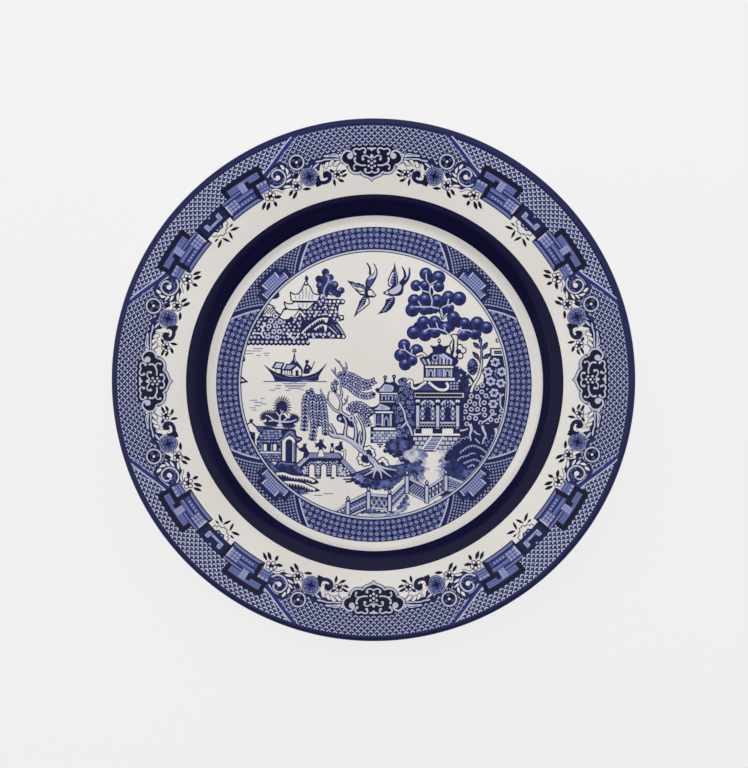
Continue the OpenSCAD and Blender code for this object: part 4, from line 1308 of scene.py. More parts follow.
def tea_house(d):
    # the roof
    d.dot(NAVY, -60.4, -18.3, 0.95)
    d.rule(NAVY, 0.8, (-63.4, -20.6), (-60.4, -19), (-57.8, -21.4), (-56.4, -24))
    d.area(NAVY, [
        (-58.6, -20.8), (-53.6, -20.9), (-48.4, -22), (-38.6, -22.4), (-38, -24), (-45, -28.2),
        (-58, -28), (-56, -24.4)])
    d.area(BLUE, [(-57.8, -21.4), (-54.4, -21.4), (-54.6, -23), (-56, -24)])
    d.bricks(
        lambda i, j: PALE if (i + j) % 3 else LIGHT, -54.6, -23.72, 9, 4, 1.9, 1.25, 1.5, 0.84, shift=0.8,
        lean=0.75, keep=lambda x, j: x < -45.2 - 0.3 * j)
    # the brick wall, left clear round its two windows
    d.box(NAVY, -57.6, -38.8, -44.6, -27.4)
    d.bricks(lambda i, j: (PALE, LIGHT, LIGHT)[
        (i + 2 * j) % 3], -57.2, -29.02, 8, 8, 1.62, 1.32, 1.25, 0.84, shift=0.7, keep=lambda x,
        j: x < -45.8 and (j not in (1, 2, 3) or min(abs(x + 53.6), abs(x + 48.8)) > 2.0))
    for x in (-53.4, -48.6):
        d.box(PAPER, x - 0.75, -33.1, x + 0.75, -29.9)
        d.box(PALE, x - 1.9, -33.1, x - 1.3, -29.9)
    d.box(PAPER, -56.9, -34.4, -45.6, -33.7)
    d.box(NAVY, -60.4, -31.6, -58.4, -24)
    d.area(NAVY, arch(-60.9, -30.8, -23.6, 2.4))
    # the porch
    d.blob(LIGHT, [
        (-41.2, -23.2), (-38.6, -24.6), (-37.2, -27), (-36.3, -28.4), (-46, -28.2), (-45.4, -27),
        (-43.8, -25.4)])
    d.line(NAVY, 1.0, [
        (-46.8, -27.8), (-45, -26.6), (-43.6, -24.4), (-41.2, -22.8), (-39.2, -23.4), (-37.8, -26.2),
        (-35.4, -27), (-36.6, -28.4), (-38.4, -29.2)])
    d.area(NAVY, [
        (-45.6, -39), (-45.6, -28.4), (-43.4, -26.4), (-41.4, -24.6), (-39, -26.2), (-37.6, -28),
        (-37.8, -39)])
    d.area(PAPER, [
        (-44.9, -38.6), (-44.9, -28.2), (-43, -26.6), (-41.4, -25.6), (-39.3, -26.8), (-38.6, -28.4),
        (-38.6, -38.6)])
    d.area(BLUE, [(-39.4, -29), (-38.7, -29), (-38.7, -38.6), (-39.4, -38.6)])
    d.area(NAVY, arch(-41.6, -39, -27.4, 1.75))


def shore(d):
    d.blob(WASH, [(-55, -37.4), (-52, -38.6), (-48.4, -41), (-45.4, -43.4), (-47, -44.6), (-51, -42)])
    d.line(NAVY, 0.6, [(-53.4, -37.6), (-50, -39.4), (-46.8, -42.2), (-42.8, -43.6)])
    d.area(NAVY, [
        (-49.2, -40.8), (-47.4, -38.8), (-45.4, -37.8), (-43, -38.5), (-38.2, -38.6), (-36.4, -39.9),
        (-34.6, -41.6), (-32.4, -45), (-36, -45.6), (-41, -45), (-46, -43.4)])
    d.area(DEEP, [
        (-48, -40.8), (-46.8, -39.4), (-45.3, -38.5), (-43, -39.1), (-38.6, -39.2), (-36.8, -40.4),
        (-35, -42.1), (-33.4, -44.6), (-38, -44.6), (-42, -43.6)])
    d.rule(LIGHT, 0.7, (-46.8, -39.9), (-45.3, -39), (-43, -39.6), (-39, -39.8))
    d.area(WASH, [
        (-38.6, -39.5), (-36.8, -40.8), (-35, -42.4), (-33.6, -44.4), (-37, -44), (-39.6, -41.4)])
    d.blob(NAVY, [
        (-50, -44), (-44.6, -43.6), (-39.3, -45), (-35, -45.4), (-29.8, -46.4), (-26.7, -48.8),
        (-29.6, -49.8), (-33, -49), (-38, -48.4), (-44, -47.6), (-48, -47)])
    jagged(d, [
        (-49.4, -45), (-47, -44.6), (-44.2, -44.5), (-41.6, -45.4), (-38.8, -46.1), (-34.6, -46.4),
        (-31.6, -47), (-28.8, -48.3)], 1.1, 1.0, 1.0)
    d.blob(NAVY, [
        (-46.4, -47.8), (-41.2, -47.6), (-35.5, -48.3), (-30.8, -50.2), (-26.2, -53), (-33, -53.4),
        (-39, -53.6), (-44, -52)])
    jagged(d, [
        (-45.8, -49), (-41.2, -48.8), (-35.5, -49.6), (-30.8, -51.5), (-28.6, -52.4)], 1.15, 1.3, 1.1)
    d.blob(WASH, [(-42, -52.2), (-36, -52.6), (-30, -52.8), (-33, -54), (-38, -54.6)])
    d.rule(LIGHT, 0.5, (-37, -54.9), (-31.6, -54.3))


# ---- the bridge and the people on it
def people(d):
    """Four people on the bridge, with what they carry."""
    d.dots(NAVY, (-33.9, -30.4, 0.85), (-25.9, -28.2, 0.85), (-16, -29.6, 0.85), (-20.2, -30, 0.85))
    d.area(
        NAVY, [(-34.6, -31), (-33.2, -31), (-31.6, -34), (-32.4, -36.6), (-34.8, -36.8), (-34.2, -34),
         (-36.4, -33.2), (-36.6, -32)],
        [(-26.8, -28.8), (-25.2, -28.8), (-22.8, -31.6), (-23.4, -32.4), (-25, -31.4), (-24.6, -33.4),
         (-27, -33.4), (-26.9, -31), (-28.6, -31.6), (-28.6, -30)],
        [(-16.8, -30.2), (-15, -30.2), (-14.6, -32.4), (-16.4, -33.4), (-19, -32.4), (-18.6, -31)],
        [(-20.8, -30.4), (-19.6, -30.4), (-19, -33.9), (-21.4, -33.9)])
    d.area(PAPER, [(-26.4, -32.6), (-24.9, -32.6), (-24.2, -36), (-27.2, -36)])
    d.rule(NAVY, 0.4, (-26.6, -32.4), (-27.5, -36.2), (-24, -36.2), (-24.8, -32.4))
    d.rule(NAVY, 0.55, (-28.8, -29), (-27.4, -30.4))
    d.rule(NAVY, 0.5, (-24.6, -27.2), (-25, -30))
    d.rules(NAVY, 0.6, [(-37.8, -30.4), (-36.2, -33)], [(-33, -29.4), (-33.4, -31)])
    d.rule(NAVY, 0.5, (-16.6, -28.8), (-14.8, -28.6))
    white_line(d, 0.7, *curve([(-15.4, -33), (-13.9, -33), (-14.2, -37)]), rim=0.35)
    d.area(PAPER, [(-20.6, -31.4), (-19.8, -31.4), (-19.7, -33.2), (-20.8, -33.2)])


def bridge(d):
    d.area(NAVY, [
        (-38.2, -39.6), (-31.8, -33.9), (-16.6, -33.9), (-14.2, -36.9), (-8, -43.6), (-9.4, -46),
        (-34, -46), (-34.6, -43)])
    d.area(PALE, [(-31.2, -34.4), (-17, -34.4), (-15.6, -36.6), (-32.6, -36.6)])
    d.hatch(NAVY, 0.3, 16, (-31.9, -36.5), (1, 0), (-30.6, -34.5))
    d.area(MIST, [(-37.6, -40.2), (-36.4, -41.1), (-31.6, -36.6), (-32.8, -35.6)])
    d.area(PALE, [(-14.9, -37.3), (-13.5, -38), (-8.4, -43.6), (-10.1, -44.4), (-15.8, -38.4)])
    d.hatch(NAVY, 0.25, 8, (-15, -38.6), (0.75, -0.8), (-13.6, -38.1))
    d.hatch(BLUE, 0.25, 5, (-37, -40.6), (1, 0.9), (-36.2, -39.2))
    # the stonework
    for points, pitch, r in (
            ([(-35.4, -42.6), (-32.4, -38.4), (-31.4, -38.2), (-31.6, -45.4), (-33, -45.4)], 1.5, 0.62),
            ([(-31.6, -38), (-17.6, -38), (-16, -38.6), (-17.6, -40.4), (-31, -40.4)], 1.5, 0.62),
            ([(-28.9, -40), (-25.2, -40), (-25.2, -45.6), (-28.9, -45.6)], 1.6, 0.72), ([(-22.6, -40),
            (-20.3, -40), (-20.3, -45.6), (-22.6, -45.6)], 1.6, 0.7), ([(-17.8, -39.8), (-15.6, -39.4),
            (-10.6, -44.4), (-10.4, -45.6), (-17.8, -45.6)], 1.7, 0.75)):
        speckled(d, NAVY, MIST, points, pitch, r)
    for x, half in ((-30.2, 1.25), (-24.3, 1.2), (-19.3, 1.1)):
        d.area(NAVY, arch(x, -46, -38.2, half + 1.35))
        for k in range(7):
            d.rule(MIST, 0.62, polar(x, -41, half + 0.6, 30 * k), polar(x, -41, half + 1.25, 30 * k))
        for side in (-1, 1):
            stone = x + side * (half + 0.95)
            d.boxes(MIST, *[
                (stone - 0.32, y - 0.35, stone + 0.32, y + 0.35) for y in (-42.2, -43.3, -44.4)])
        d.area(PAPER, arch(x, -46.2, -39.9, half))
    people(d)


# ---- the fence
def fence_panel(d, start, end, drop0, drop1, kind):
    """A panel between two posts: rails at top and bottom, and something between them."""
    (x0, y0), (x1, y1) = start, end

    def at(t, s):
        """The point at t along the panel and s down it."""
        return (x0 + (x1 - x0) * t, y0 + (y1 - y0) * t - s * (drop0 + (drop1 - drop0) * t))

    d.area(NAVY, [at(0, -0.1), at(1, -0.1), at(1, 1.08), at(0, 1.08)])
    if kind == "lattice":
        n = round(math.dist(start, end) / 1.5)
        for s in (0.36, 0.68):
            for k in range(n):
                d.rule(PALE, 0.4, at((k + 0.1) / n, s - 0.11), at((k + 0.9) / n, s + 0.11))
                d.rule(LIGHT, 0.35, at((k + 0.1) / n, s + 0.11), at((k + 0.9) / n, s - 0.11))
        d.rule(MIST, 0.55, at(0, 0.53), at(1, 0.53))
    elif kind == "zigzag":
        for phase in (0, 1):
            for lo, hi in ((0.12, 0.78), (0.32, 0.92)):
                turns = [at(k / 4, lo if (k + phase) % 2 else hi) for k in range(5)]
                d.rule(MIST if phase else PALE, 0.5, *turns)
    elif kind == "hatch":
        for k in range(9):
            t = (k + 0.2) / 9
            d.rule(PALE, 0.5, at(t, 0.86), at(min(1, t + 0.34), 0.86 - 0.68 * min(1, (1 - t) / 0.34)))
    elif kind == "bars":
        for k in range(5):
            t = (k + 0.55) / 5
            d.rule(MIST, 1.0, at(t, 0.22), at(t, 0.84))
            x = at(t, 0.5)[0]
            d.box(NAVY, x - 0.35, at(t, 0.62)[1], x + 0.35, at(t, 0.4)[1])
    else:
        for j in range(4):
            s = 0.2 + 0.2 * j
            d.rule(PALE, 0.5, at(0.04, s), at(1, s))
            for k in range(4):
                t = (k + 0.5 * (j % 2) + 0.3) / 4.4
                d.rule(PALE, 0.35, at(t, s), at(t, 0.4 + 0.2 * j))
    d.rule(MIST, 0.95, at(0, 0.02), at(1, 0.02))
    d.rule(MIST, 0.8, at(0, 0.97), at(1, 0.97))


def fence(d):
    for panel in (
            ((-20.4, -63.9), (-12.6, -59.3), 3.5, 7, "bars"), ((-12, -58.7), (-2.4, -53.9), 7.2, 7.4,
            "lattice"), ((-2, -54.8), (8.4, -55.5), 6.5, 6.7, "zigzag"), ((8.8, -55.2),
            (16.8, -47.4), 7.2, 6.6, "lattice"), ((17.2, -46.2), (26.6, -51), 7.4, 7.2, "hatch"),
            ((27.2, -51.2), (36.1, -45.6), 7, 7.2, "bars"), ((36.6, -45.6), (46, -49), 6.6, 4.4,
            "bricks")):
        fence_panel(d, *panel)
    for x, top, low in (
            (-12.3, -58.5, -66), (-2.1, -53.5, -61.9), (8.4, -55, -62.9), (17, -45.6, -54.1),
            (26.8, -50.5, -58.7), (36.3, -45.3, -52.8)):
        d.box(NAVY, x - 1.25, low - 0.4, x + 1.25, top + 0.5)
        d.box(MIST, x - 0.68, low, x + 0.68, top)
        d.area(NAVY, [
            (x, top + 3.3), (x + 1.15, top + 1.7), (x + 0.5, top + 0.3), (x - 0.5, top + 0.3),
            (x - 1.15, top + 1.7)])
        d.dot(MIST, x, top + 1.7, 0.45, 0.7)


def roots(d):
    """The knobby white roots and stones round the willow's foot."""
    knobby(
        d, [(-3.6, -32, 0.9), (-1.9, -31.8, 1.1), (-0.4, -33.2, 1.1), (0.2, -35, 1)],
        [(-2, -33.6, 1.3), (-0.9, -34.8, 0.9)])
    knobby(
        d, [(-6, -35, 0.9), (-6.7, -36.9, 1), (-6, -38.8, 1), (-4, -39.6, 1), (-2.4, -39.4, 0.9)],
        [(-4, -37, 1.9), (-3, -38.2, 1.2)])
    knobby(d, [(3.4, -38.2, 0.8), (4.8, -37.4, 1), (6.2, -38.4, 1), (7, -39.8, 0.8)], [(4.7, -39.6, 0.9)])


def garden_drawing():
    d = Drawing()
    for part in (
            island, island_pagoda, lobed_tree, doves, boat, apple_tree, right_trees, main_pagoda,
            small_pagoda, small_tree, eave_scroll, ground, rocks, spiky_tree, tea_house, shore, bridge,
            willow, roots, fence):
        part(d)
    return d


# ---------------------------------------------------------------- the section of the plate
def corner_arc(a, b, c, r, steps=ARC_STEPS):
    """The arc that rounds corner b, between corners a and c."""
    a, b, c = (np.array(p, float) for p in (a, b, c))
    back = (a - b) / np.linalg.norm(a - b)
    on = (c - b) / np.linalg.norm(c - b)
    half = math.acos(back @ on) / 2
    middle = (back + on) / np.linalg.norm(back + on)
    centre = b + middle * r / math.sin(half)
    first = b + back * r / math.tan(half) - centre
    last = b + on * r / math.tan(half) - centre
    start = math.atan2(first[1], first[0])
    turn = math.atan2(first[0] * last[1] - first[1] * last[0], first @ last)
    angles = start + turn * np.arange(steps + 1) / steps
    return [tuple(centre + r * np.array((math.cos(t), math.sin(t)))) for t in angles]


def rounded(corners, first, last):
    """The points of corners (radius, height, rounding) from first to last."""
    out = []
    for i in range(first, last + 1):
        r, z, rounding = corners[i]
        if rounding:
            out += corner_arc(corners[i - 1][:2], (r, z), corners[i + 1][:2], rounding)
        else:
            out.append((r, z))
    return out


def shifted(path, t):
    """The path moved by t to the left of its direction of travel."""
    p = np.array(path)
    d = np.diff(p, axis=0)
    d /= np.linalg.norm(d, axis=1)[:, None]
    left = np.stack([-d[:, 1], d[:, 0]], 1)
    before = np.vstack([left[:1], left])
    after = np.vstack([left, left[-1:]])
    middle = before + after
    middle /= np.linalg.norm(middle, axis=1)[:, None]
    return p + middle * (t / (middle * after).sum(1))[:, None]


def denser(path, step):
    """The path with points added so that none are further apart than step."""
    out = [path[0]]
    for a, b in zip(path[:-1], path[1:]):
        n = max(1, math.ceil(math.dist(a, b) / step))
        out += [tuple(np.array(a) + (np.array(b) - a) * k / n) for k in range(1, n + 1)]
    return out


def body_corners():
    """The corners of the bare clay's section, as in the CAD."""
    rough = math.atan2(PLATE_H - SHOULDER_H, CLAY_R - SHOULDER_R)
    top = CLAY_H + LIP_ROUND * (math.tan(rough) + 1 / math.cos(rough) - 1)
    rim = math.atan2(top - SHOULDER_H, CLAY_R - SHOULDER_R)
    verge = math.atan2(SHOULDER_H - WELL_H, SHOULDER_R - WELL_R)
    rim_drop, verge_drop = RIM_T / math.cos(rim), VERGE_T / math.cos(verge)
    run = (verge_drop - rim_drop) / (math.tan(verge) - math.tan(rim))
    heel_h = FOOT_RECESS - 0.2
    heel_r = SHOULDER_R - (SHOULDER_H - verge_drop - heel_h) / math.tan(verge)
    foot_out, foot_in = FOOT_R + FOOT_FACE_W / 2, FOOT_R - FOOT_FACE_W / 2
    return [
        (0, WELL_H, 0), (WELL_R, WELL_H, WELL_ROUND), (SHOULDER_R, SHOULDER_H, SHOULDER_ROUND),
        (CLAY_R, top, LIP_ROUND), (CLAY_R, top - rim_drop, LIP_ROUND),
        (SHOULDER_R + run, SHOULDER_H - rim_drop + run * math.tan(rim), BACK_ROUND),
        (heel_r, heel_h, HEEL_ROUND), (foot_out + FOOT_FLARE, heel_h - 0.15, 0.25), (foot_out, 0, 0.7),
        (foot_in, 0, 0.7), (foot_in - FOOT_FLARE, FOOT_RECESS, 2), (0, FOOT_RECESS, 0)]


corners = body_corners()
face = rounded(corners, 0, 3)
outer_skin = shifted(denser(rounded(corners, 0, 8), 4), GLAZE_T)
recess_skin = shifted(denser(rounded(corners, 9, 11), 4), GLAZE_T)
ink_face = shifted(face, GLAZE_T + LIFT)


def over_dry_foot(path):
    """The part of a path above the line where the glaze stops, ending just on it."""
    kept = [tuple(p) for p in path if p[1] > DRY_FOOT_H]
    low = min(kept, key=lambda p: p[1])
    end = (low[0] - 0.35 * math.copysign(low[1] - DRY_FOOT_H, low[0] - FOOT_R), DRY_FOOT_H)
    return kept + [end] if low == kept[-1] else [end] + kept


def face_height(r):
    """The height of the ink's layer over the table, at radius r."""
    return np.interp(r, ink_face[:, 0], ink_face[:, 1])


def face_normals(x, y):
    """The face's directions at points of the plate's plane."""
    r = np.maximum(np.hypot(x, y), 1e-6)
    slope = (face_height(r + 0.05) - face_height(r - 0.05)) / 0.1
    n = np.stack([-slope * x / r, -slope * y / r, np.ones_like(r)], 1)
    return n / np.linalg.norm(n, axis=1)[:, None]


# ---------------------------------------------------------------- meshes
def add_piece(name, verts_mm, faces, materials, slots=None, normals=None):
    """A mesh that rides on the plate. slots say which material each face takes."""
    mesh = bpy.data.meshes.new(name)
    mesh.from_pydata((np.asarray(verts_mm, float) * MM).tolist(), [], faces)
    for m in materials:
        mesh.materials.append(m)
    if slots is not None:
        mesh.polygons.foreach_set("material_index", np.asarray(slots, np.int32))
    mesh.polygons.foreach_set("use_smooth", np.ones(len(mesh.polygons), bool))
    if normals is not None:
        mesh.normals_split_custom_set_from_vertices(normals.tolist())
    mesh.update()
    piece = bpy.data.objects.new(name, mesh)
    bpy.context.scene.collection.objects.link(piece)
    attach(piece, "root")
    return piece


def lathe(name, path, material, segments=SEGMENTS):
    """A path of (radius, height) turned round the plate's axis."""
    verts, faces = [], []
    rings = []
    for r, z in path:
        if r < 1e-6:
            rings.append([len(verts)] * segments)
            verts.append((0, 0, z))
            continue
        rings.append(list(range(len(verts), len(verts) + segments)))
        for k in range(segments):
            a = 2 * math.pi * k / segments
            verts.append((r * math.cos(a), r * math.sin(a), z))
    for low, high in zip(rings[:-1], rings[1:]):
        for k in range(segments):
            j = (k + 1) % segments
            quad = [low[k], high[k], high[j], low[j]]
            faces.append(list(dict.fromkeys(quad)))
    return add_piece(name, verts, faces, [material])


# ---------------------------------------------------------------- flattening a drawing into triangles
def inside(polygon, x, y):
    """Which of the points x, y a polygon winds round."""
    px, py = polygon[:, 0], polygon[:, 1]
    qx, qy = np.roll(px, -1), np.roll(py, -1)
    x, y = x[:, None], y[:, None]
    side = (qx - px) * (y - py) - (x - px) * (qy - py)
    up = (py <= y) & (qy > y) & (side > 0)
    down = (py > y) & (qy <= y) & (side < 0)
    return up.sum(1) != down.sum(1)


def flatten(shapes, frame_points, keep):
    """Points, triangles and inks of a drawing as it is seen, with the bare paper left out."""
    verts, edges = [], []
    fx = [p[0] for p in frame_points]
    fy = [p[1] for p in frame_points]
    box = (min(fx), min(fy), max(fx), max(fy))
    shown = []
    for ink, points in shapes:
        p = np.array(points)
        lo, hi = p.min(0), p.max(0)
        if hi[0] > box[0] and hi[1] > box[1] and lo[0] < box[2] and lo[1] < box[3]:
            shown.append((ink, p, lo, hi))
    for points in [frame_points] + [p for _, p, _, _ in shown]:
        points = denser([tuple(p) for p in points] + [tuple(points[0])], EDGE_STEP)[:-1]
        base, n = len(verts), len(points)
        verts += [Vector((float(x), float(y))) for x, y in points]
        edges += [(base + i, base + (i + 1) % n) for i in range(n)]
    # loose points, so that the mesh can follow the plate's face
    for x in np.arange(box[0] + LOOSE_SPACING / 2, box[2], LOOSE_SPACING):
        for y in np.arange(box[1] + LOOSE_SPACING / 2, box[3], LOOSE_SPACING):
            verts.append(Vector((float(x), float(y))))
    out, _, tris, _, _, _ = delaunay_2d_cdt(verts, edges, [], 0, MERGE_DISTANCE)
    out = np.array([tuple(v) for v in out])
    tris = np.array([t for t in tris if len(t) == 3])
    centre = out[tris].mean(1)
    order = np.argsort(centre[:, 0], kind="stable")
    tris, centre = tris[order], centre[order]
    # each triangle takes the ink of the last shape that covers its middle
    ink_of = np.zeros(len(tris), int)
    free = keep(centre[:, 0], centre[:, 1])
    for ink, p, lo, hi in reversed(shown):
        a, b = np.searchsorted(centre[:, 0], (lo[0], hi[0]))
        near = a + np.nonzero(free[a:b] & (centre[a:b, 1] > lo[1]) & (centre[a:b, 1] < hi[1]))[0]
        if len(near) == 0:
            continue
        hit = near[inside(p, centre[near, 0], centre[near, 1])]
        ink_of[hit] = ink
        free[hit] = False
    inked = ink_of > 0
    tris, ink_of = tris[inked], ink_of[inked]
    used, tris = np.unique(tris, return_inverse=True)
    return out[used], tris.reshape(-1, 3), ink_of


def print_piece(name, points, tris, inks, node=None):
    """A printed piece from its points in the plate's plane, laid on the plate's face."""
    used, tris = np.unique(tris, return_inverse=True)
    points, tris = points[used], tris.reshape(-1, 3)
    x, y = points[:, 0], points[:, 1]
    p = points[tris]
    turn = ((p[:, 1, 0] - p[:, 0, 0]) * (p[:, 2, 1] - p[:, 0, 1])
            - (p[:, 1, 1] - p[:, 0, 1]) * (p[:, 2, 0] - p[:, 0, 0]))
    tris = np.where((turn < 0)[:, None], tris[:, ::-1], tris)
    verts = np.stack([x, y, face_height(np.hypot(x, y))], 1)
    kinds = sorted(set(inks.tolist()))
    slots = np.searchsorted(kinds, inks)
    piece = add_piece(
        name, verts, tris.tolist(), [ink_material[k] for k in kinds], slots, face_normals(x, y))
    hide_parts(node or name)
    return piece


def round_the_plate(points, tris, inks, radius, turns, centre=(0, 0)):
    """Copies of half a repeat, straight and mirrored, bent round the plate about each of the turns."""
    all_points, all_tris, all_inks = [], [], []
    base = 0
    for turn in turns:
        for side in (1, -1):
            a = math.radians(turn) + side * points[:, 0] / radius
            all_points.append(np.stack([points[:, 1] * np.sin(a) + centre[0],
                                        points[:, 1] * np.cos(a) + centre[1]], 1))
            all_tris.append(tris + base)
            all_inks.append(inks)
            base += len(points)
    return np.vstack(all_points), np.vstack(all_tris), np.concatenate(all_inks)


# ---------------------------------------------------------------- materials
def linear(value):
    """A screen tone of 0 to 255 as an amount of light."""
    c = value / 255
    return c / 12.92 if c <= 0.04045 else ((c + 0.055) / 1.055) ** 2.4


def colour(r, g, b):
    return (linear(r), linear(g), linear(b), 1)


def new_material(name):
    material = bpy.data.materials.new(name)
    material.use_nodes = True
    nodes = material.node_tree.nodes
    return material, nodes, material.node_tree.links, nodes["Principled BSDF"]


def object_noise(nodes, links, scale, detail):
    """Noise that sits still on the plate."""
    place = nodes.new("ShaderNodeTexCoord")
    noise = nodes.new("ShaderNodeTexNoise")
    noise.inputs["Scale"].default_value = scale
    noise.inputs["Detail"].default_value = detail
    links.new(place.outputs["Object"], noise.inputs["Vector"])
    return noise


def ripple(nodes, links, shader, strength=0.12, distance=0.0004):
    """The slight waviness of a fired glaze."""
    wave = object_noise(nodes, links, RIPPLE_SCALE, RIPPLE_DETAIL)
    bump = nodes.new("ShaderNodeBump")
    bump.inputs["Strength"].default_value = strength
    bump.inputs["Distance"].default_value = distance
    links.new(wave.outputs["Fac"], bump.inputs["Height"])
    links.new(bump.outputs["Normal"], shader.inputs["Normal"])


def mottled(nodes, links, shader, dark, light, scale, detail=6, spread=0.15):
    """A colour that wanders between two tones. spread is how much of the noise the change takes."""
    noise = object_noise(nodes, links, scale, detail)
    ramp = nodes.new("ShaderNodeValToRGB")
    for stop, place, tone in zip(ramp.color_ramp.elements, (0.5 - spread, 0.5 + spread), (dark, light)):
        stop.position = place
        stop.color = colour(*tone)
    links.new(noise.outputs["Fac"], ramp.inputs["Fac"])
    links.new(ramp.outputs["Color"], shader.inputs["Base Color"])


def glaze_material():
    material, nodes, links, shader = new_material("white_glaze")
    mottled(nodes, links, shader, *GLAZE_TONES, GLAZE_SCALE)
    shader.inputs["Roughness"].default_value = GLAZE_ROUGHNESS
    ripple(nodes, links, shader)
    return material


def biscuit_material():
    """The bare clay of the foot."""
    material, nodes, links, shader = new_material("biscuit_clay")
    mottled(nodes, links, shader, *CLAY_TONES, CLAY_SCALE)
    shader.inputs["Roughness"].default_value = CLAY_ROUGHNESS
    ripple(nodes, links, shader, 0.4, 0.0002)
    return material


def ink(name, rgb, shine=0.1, roughness=0.25):
    """Cobalt under the same glaze as the white ground."""
    material, nodes, links, shader = new_material(name)
    shader.inputs["Base Color"].default_value = colour(*rgb)
    shader.inputs["Specular IOR Level"].default_value = shine
    shader.inputs["Roughness"].default_value = roughness
    ripple(nodes, links, shader)
    return material


GLAZE_ROUGHNESS, GLAZE_SCALE = 0.16, 18
GLAZE_TONES = ((220, 214, 207), (228, 223, 217))
CLAY_ROUGHNESS, CLAY_SCALE = 0.85, 160
CLAY_TONES = ((206, 194, 176), (226, 217, 202))
RIPPLE_SCALE, RIPPLE_DETAIL = 45, 2
WASH_SHINE = 0.12
# the inks' names and tones, the last two with a shine and a roughness of their own
INK_TONES = {MIST: ("cobalt_mist", (190, 193, 213)), PALE: ("cobalt_pale", (152, 159, 199)),
             LIGHT: ("cobalt_light", (110, 119, 171)), BLUE: ("cobalt_mid", (70, 79, 137)),
             DUSK: ("cobalt_dusk", (32, 37, 82)), COBALT: ("cobalt_bright", (38, 47, 116)),
             NAVY: ("cobalt_navy", (23, 28, 76)), BLACK: ("cobalt_deep", (16, 14, 42)),
             BAND: ("cobalt_band", (14, 13, 50), 0.1, 0.3), EDGE: ("cobalt_edge", (26, 29, 78), 0.2, 0.5)}
WASH_TONES = {SOFT: ("wash_soft", (98, 112, 168), (210, 208, 208), 330),
              WASH: ("wash_middle", (14, 20, 66), (88, 102, 162), 380),
              DEEP: ("wash_deep", (8, 13, 54), (38, 52, 114), 360)}


def wash_ink(name, dark, light, scale):
    """Ink that pooled unevenly, so that it runs from dark to light."""
    material, nodes, links, shader = new_material(name)
    mottled(nodes, links, shader, dark, light, scale, 5, 0.12)
    shader.inputs["Specular IOR Level"].default_value = WASH_SHINE
    shader.inputs["Roughness"].default_value = GLAZE_ROUGHNESS
    ripple(nodes, links, shader)
    return material


ink_material = {k: ink(*v) for k, v in INK_TONES.items()}
ink_material.update({k: wash_ink(*v) for k, v in WASH_TONES.items()})
white_glaze = glaze_material()
biscuit = biscuit_material()


# ---------------------------------------------------------------- the plate itself
outer = lathe("glaze_coat", over_dry_foot(outer_skin), white_glaze)
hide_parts("outer_glaze")
under = lathe("glaze_underside", over_dry_foot(recess_skin), white_glaze)
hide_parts("underside_glaze")

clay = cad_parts["plate_body"]
for slot in clay.material_slots:
    slot.material = biscuit

edge_face = [(float(r), float(z)) for r, z in shifted(denser(face, 1), GLAZE_T + EDGE_LIFT)]
first = next(i for i, (r, z) in enumerate(edge_face) if r > EDGE_LINE_R)
(r0, z0), (r1, z1) = edge_face[first - 1:first + 1]
edge_start = (EDGE_LINE_R, z0 + (z1 - z0) * (EDGE_LINE_R - r0) / (r1 - r0))
edge_path = [edge_start] + [(r, z) for r, z in edge_face if r > EDGE_LINE_R]
edge = lathe("edge_line_ink", edge_path, ink_material[EDGE])
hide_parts("edge_line")


def band(name, r_in, r_out, centre, rings=44, segments=SEGMENTS):
    """A solid ring of ink, laid a little off the plate's centre."""
    points, tris = [], []
    for i in range(rings + 1):
        r = r_in + (r_out - r_in) * i / rings
        for k in range(segments):
            a = 2 * math.pi * k / segments
            points.append((centre[0] + r * math.cos(a), centre[1] + r * math.sin(a)))
    for i in range(rings):
        for k in range(segments):
            j = (k + 1) % segments
            a, b, c, d = (
                i * segments + k, (i + 1) * segments + k, (i + 1) * segments + j, i * segments + j)
            tris += [(a, b, c), (a, c, d)]
    tris = np.array(tris)
    return print_piece(name, np.array(points), tris, np.full(len(tris), BAND))


band("verge_band", BAND_R[0], BAND_R[1], BAND_CENTRE)

# ---------------------------------------------------------------- the printed borders
def half_repeat(drawing, length, r_in, r_out):
    """Half a repeat of a border, flattened on a strip from one radius to the other."""
    return flatten(drawing.shapes, [(0, r_in), (length, r_in), (length, r_out), (0, r_out)],
                   lambda x, y: (x > 0) & (x < length) & (y < r_out))


half_rim = half_repeat(rim_drawing(), HALF_TURN, *RIM_PRINT_R)
for name, turn in zip(
        ("rim_print_north", "rim_print_east", "rim_print_south", "rim_print_west"), QUARTERS):
    print_piece(name, *round_the_plate(*half_rim, HALF_TURN / EIGHTH, [turn + RIM_TURN], RIM_CENTRE))

half_well = half_repeat(well_drawing(), HALF_WELL, *WELL_PRINT_R)
half_well[0][:, 1] *= WELL_SCALE
print_piece("well_border_print", *round_the_plate(*half_well, HALF_WELL / EIGHTH, QUARTERS, WELL_CENTRE))

garden, tris, inks = flatten(garden_drawing().shapes, arc(0, 0, SCENE_R - 0.1, n=180),
                             lambda x, y: np.hypot(x, y) < SCENE_R)
c, s = math.cos(SCENE_TURN), math.sin(SCENE_TURN)
points = garden @ np.array([[c, s], [-s, c]]) * WELL_SCALE + np.array(SCENE_CENTRE)
washed = np.isin(inks, WASHES)
print_piece("scene_print", points, tris[~washed], inks[~washed])
print_piece("scene_washes", points, tris[washed], inks[washed], "scene_print")


# ---------------------------------------------------------------- floor, light and camera
def floor_material():
    """A pale matt floor that glows a little, so that it melts into the backdrop."""
    material, nodes, links, shader = new_material("studio_floor")
    shader.inputs["Base Color"].default_value = colour(*FLOOR_TONE)
    shader.inputs["Roughness"].default_value = FLOOR_ROUGHNESS
    shader.inputs["Specular IOR Level"].default_value = 0.0
    shader.inputs["Emission Color"].default_value = (1, 1, 1, 1)
    shader.inputs["Emission Strength"].default_value = FLOOR_GLOW
    return material


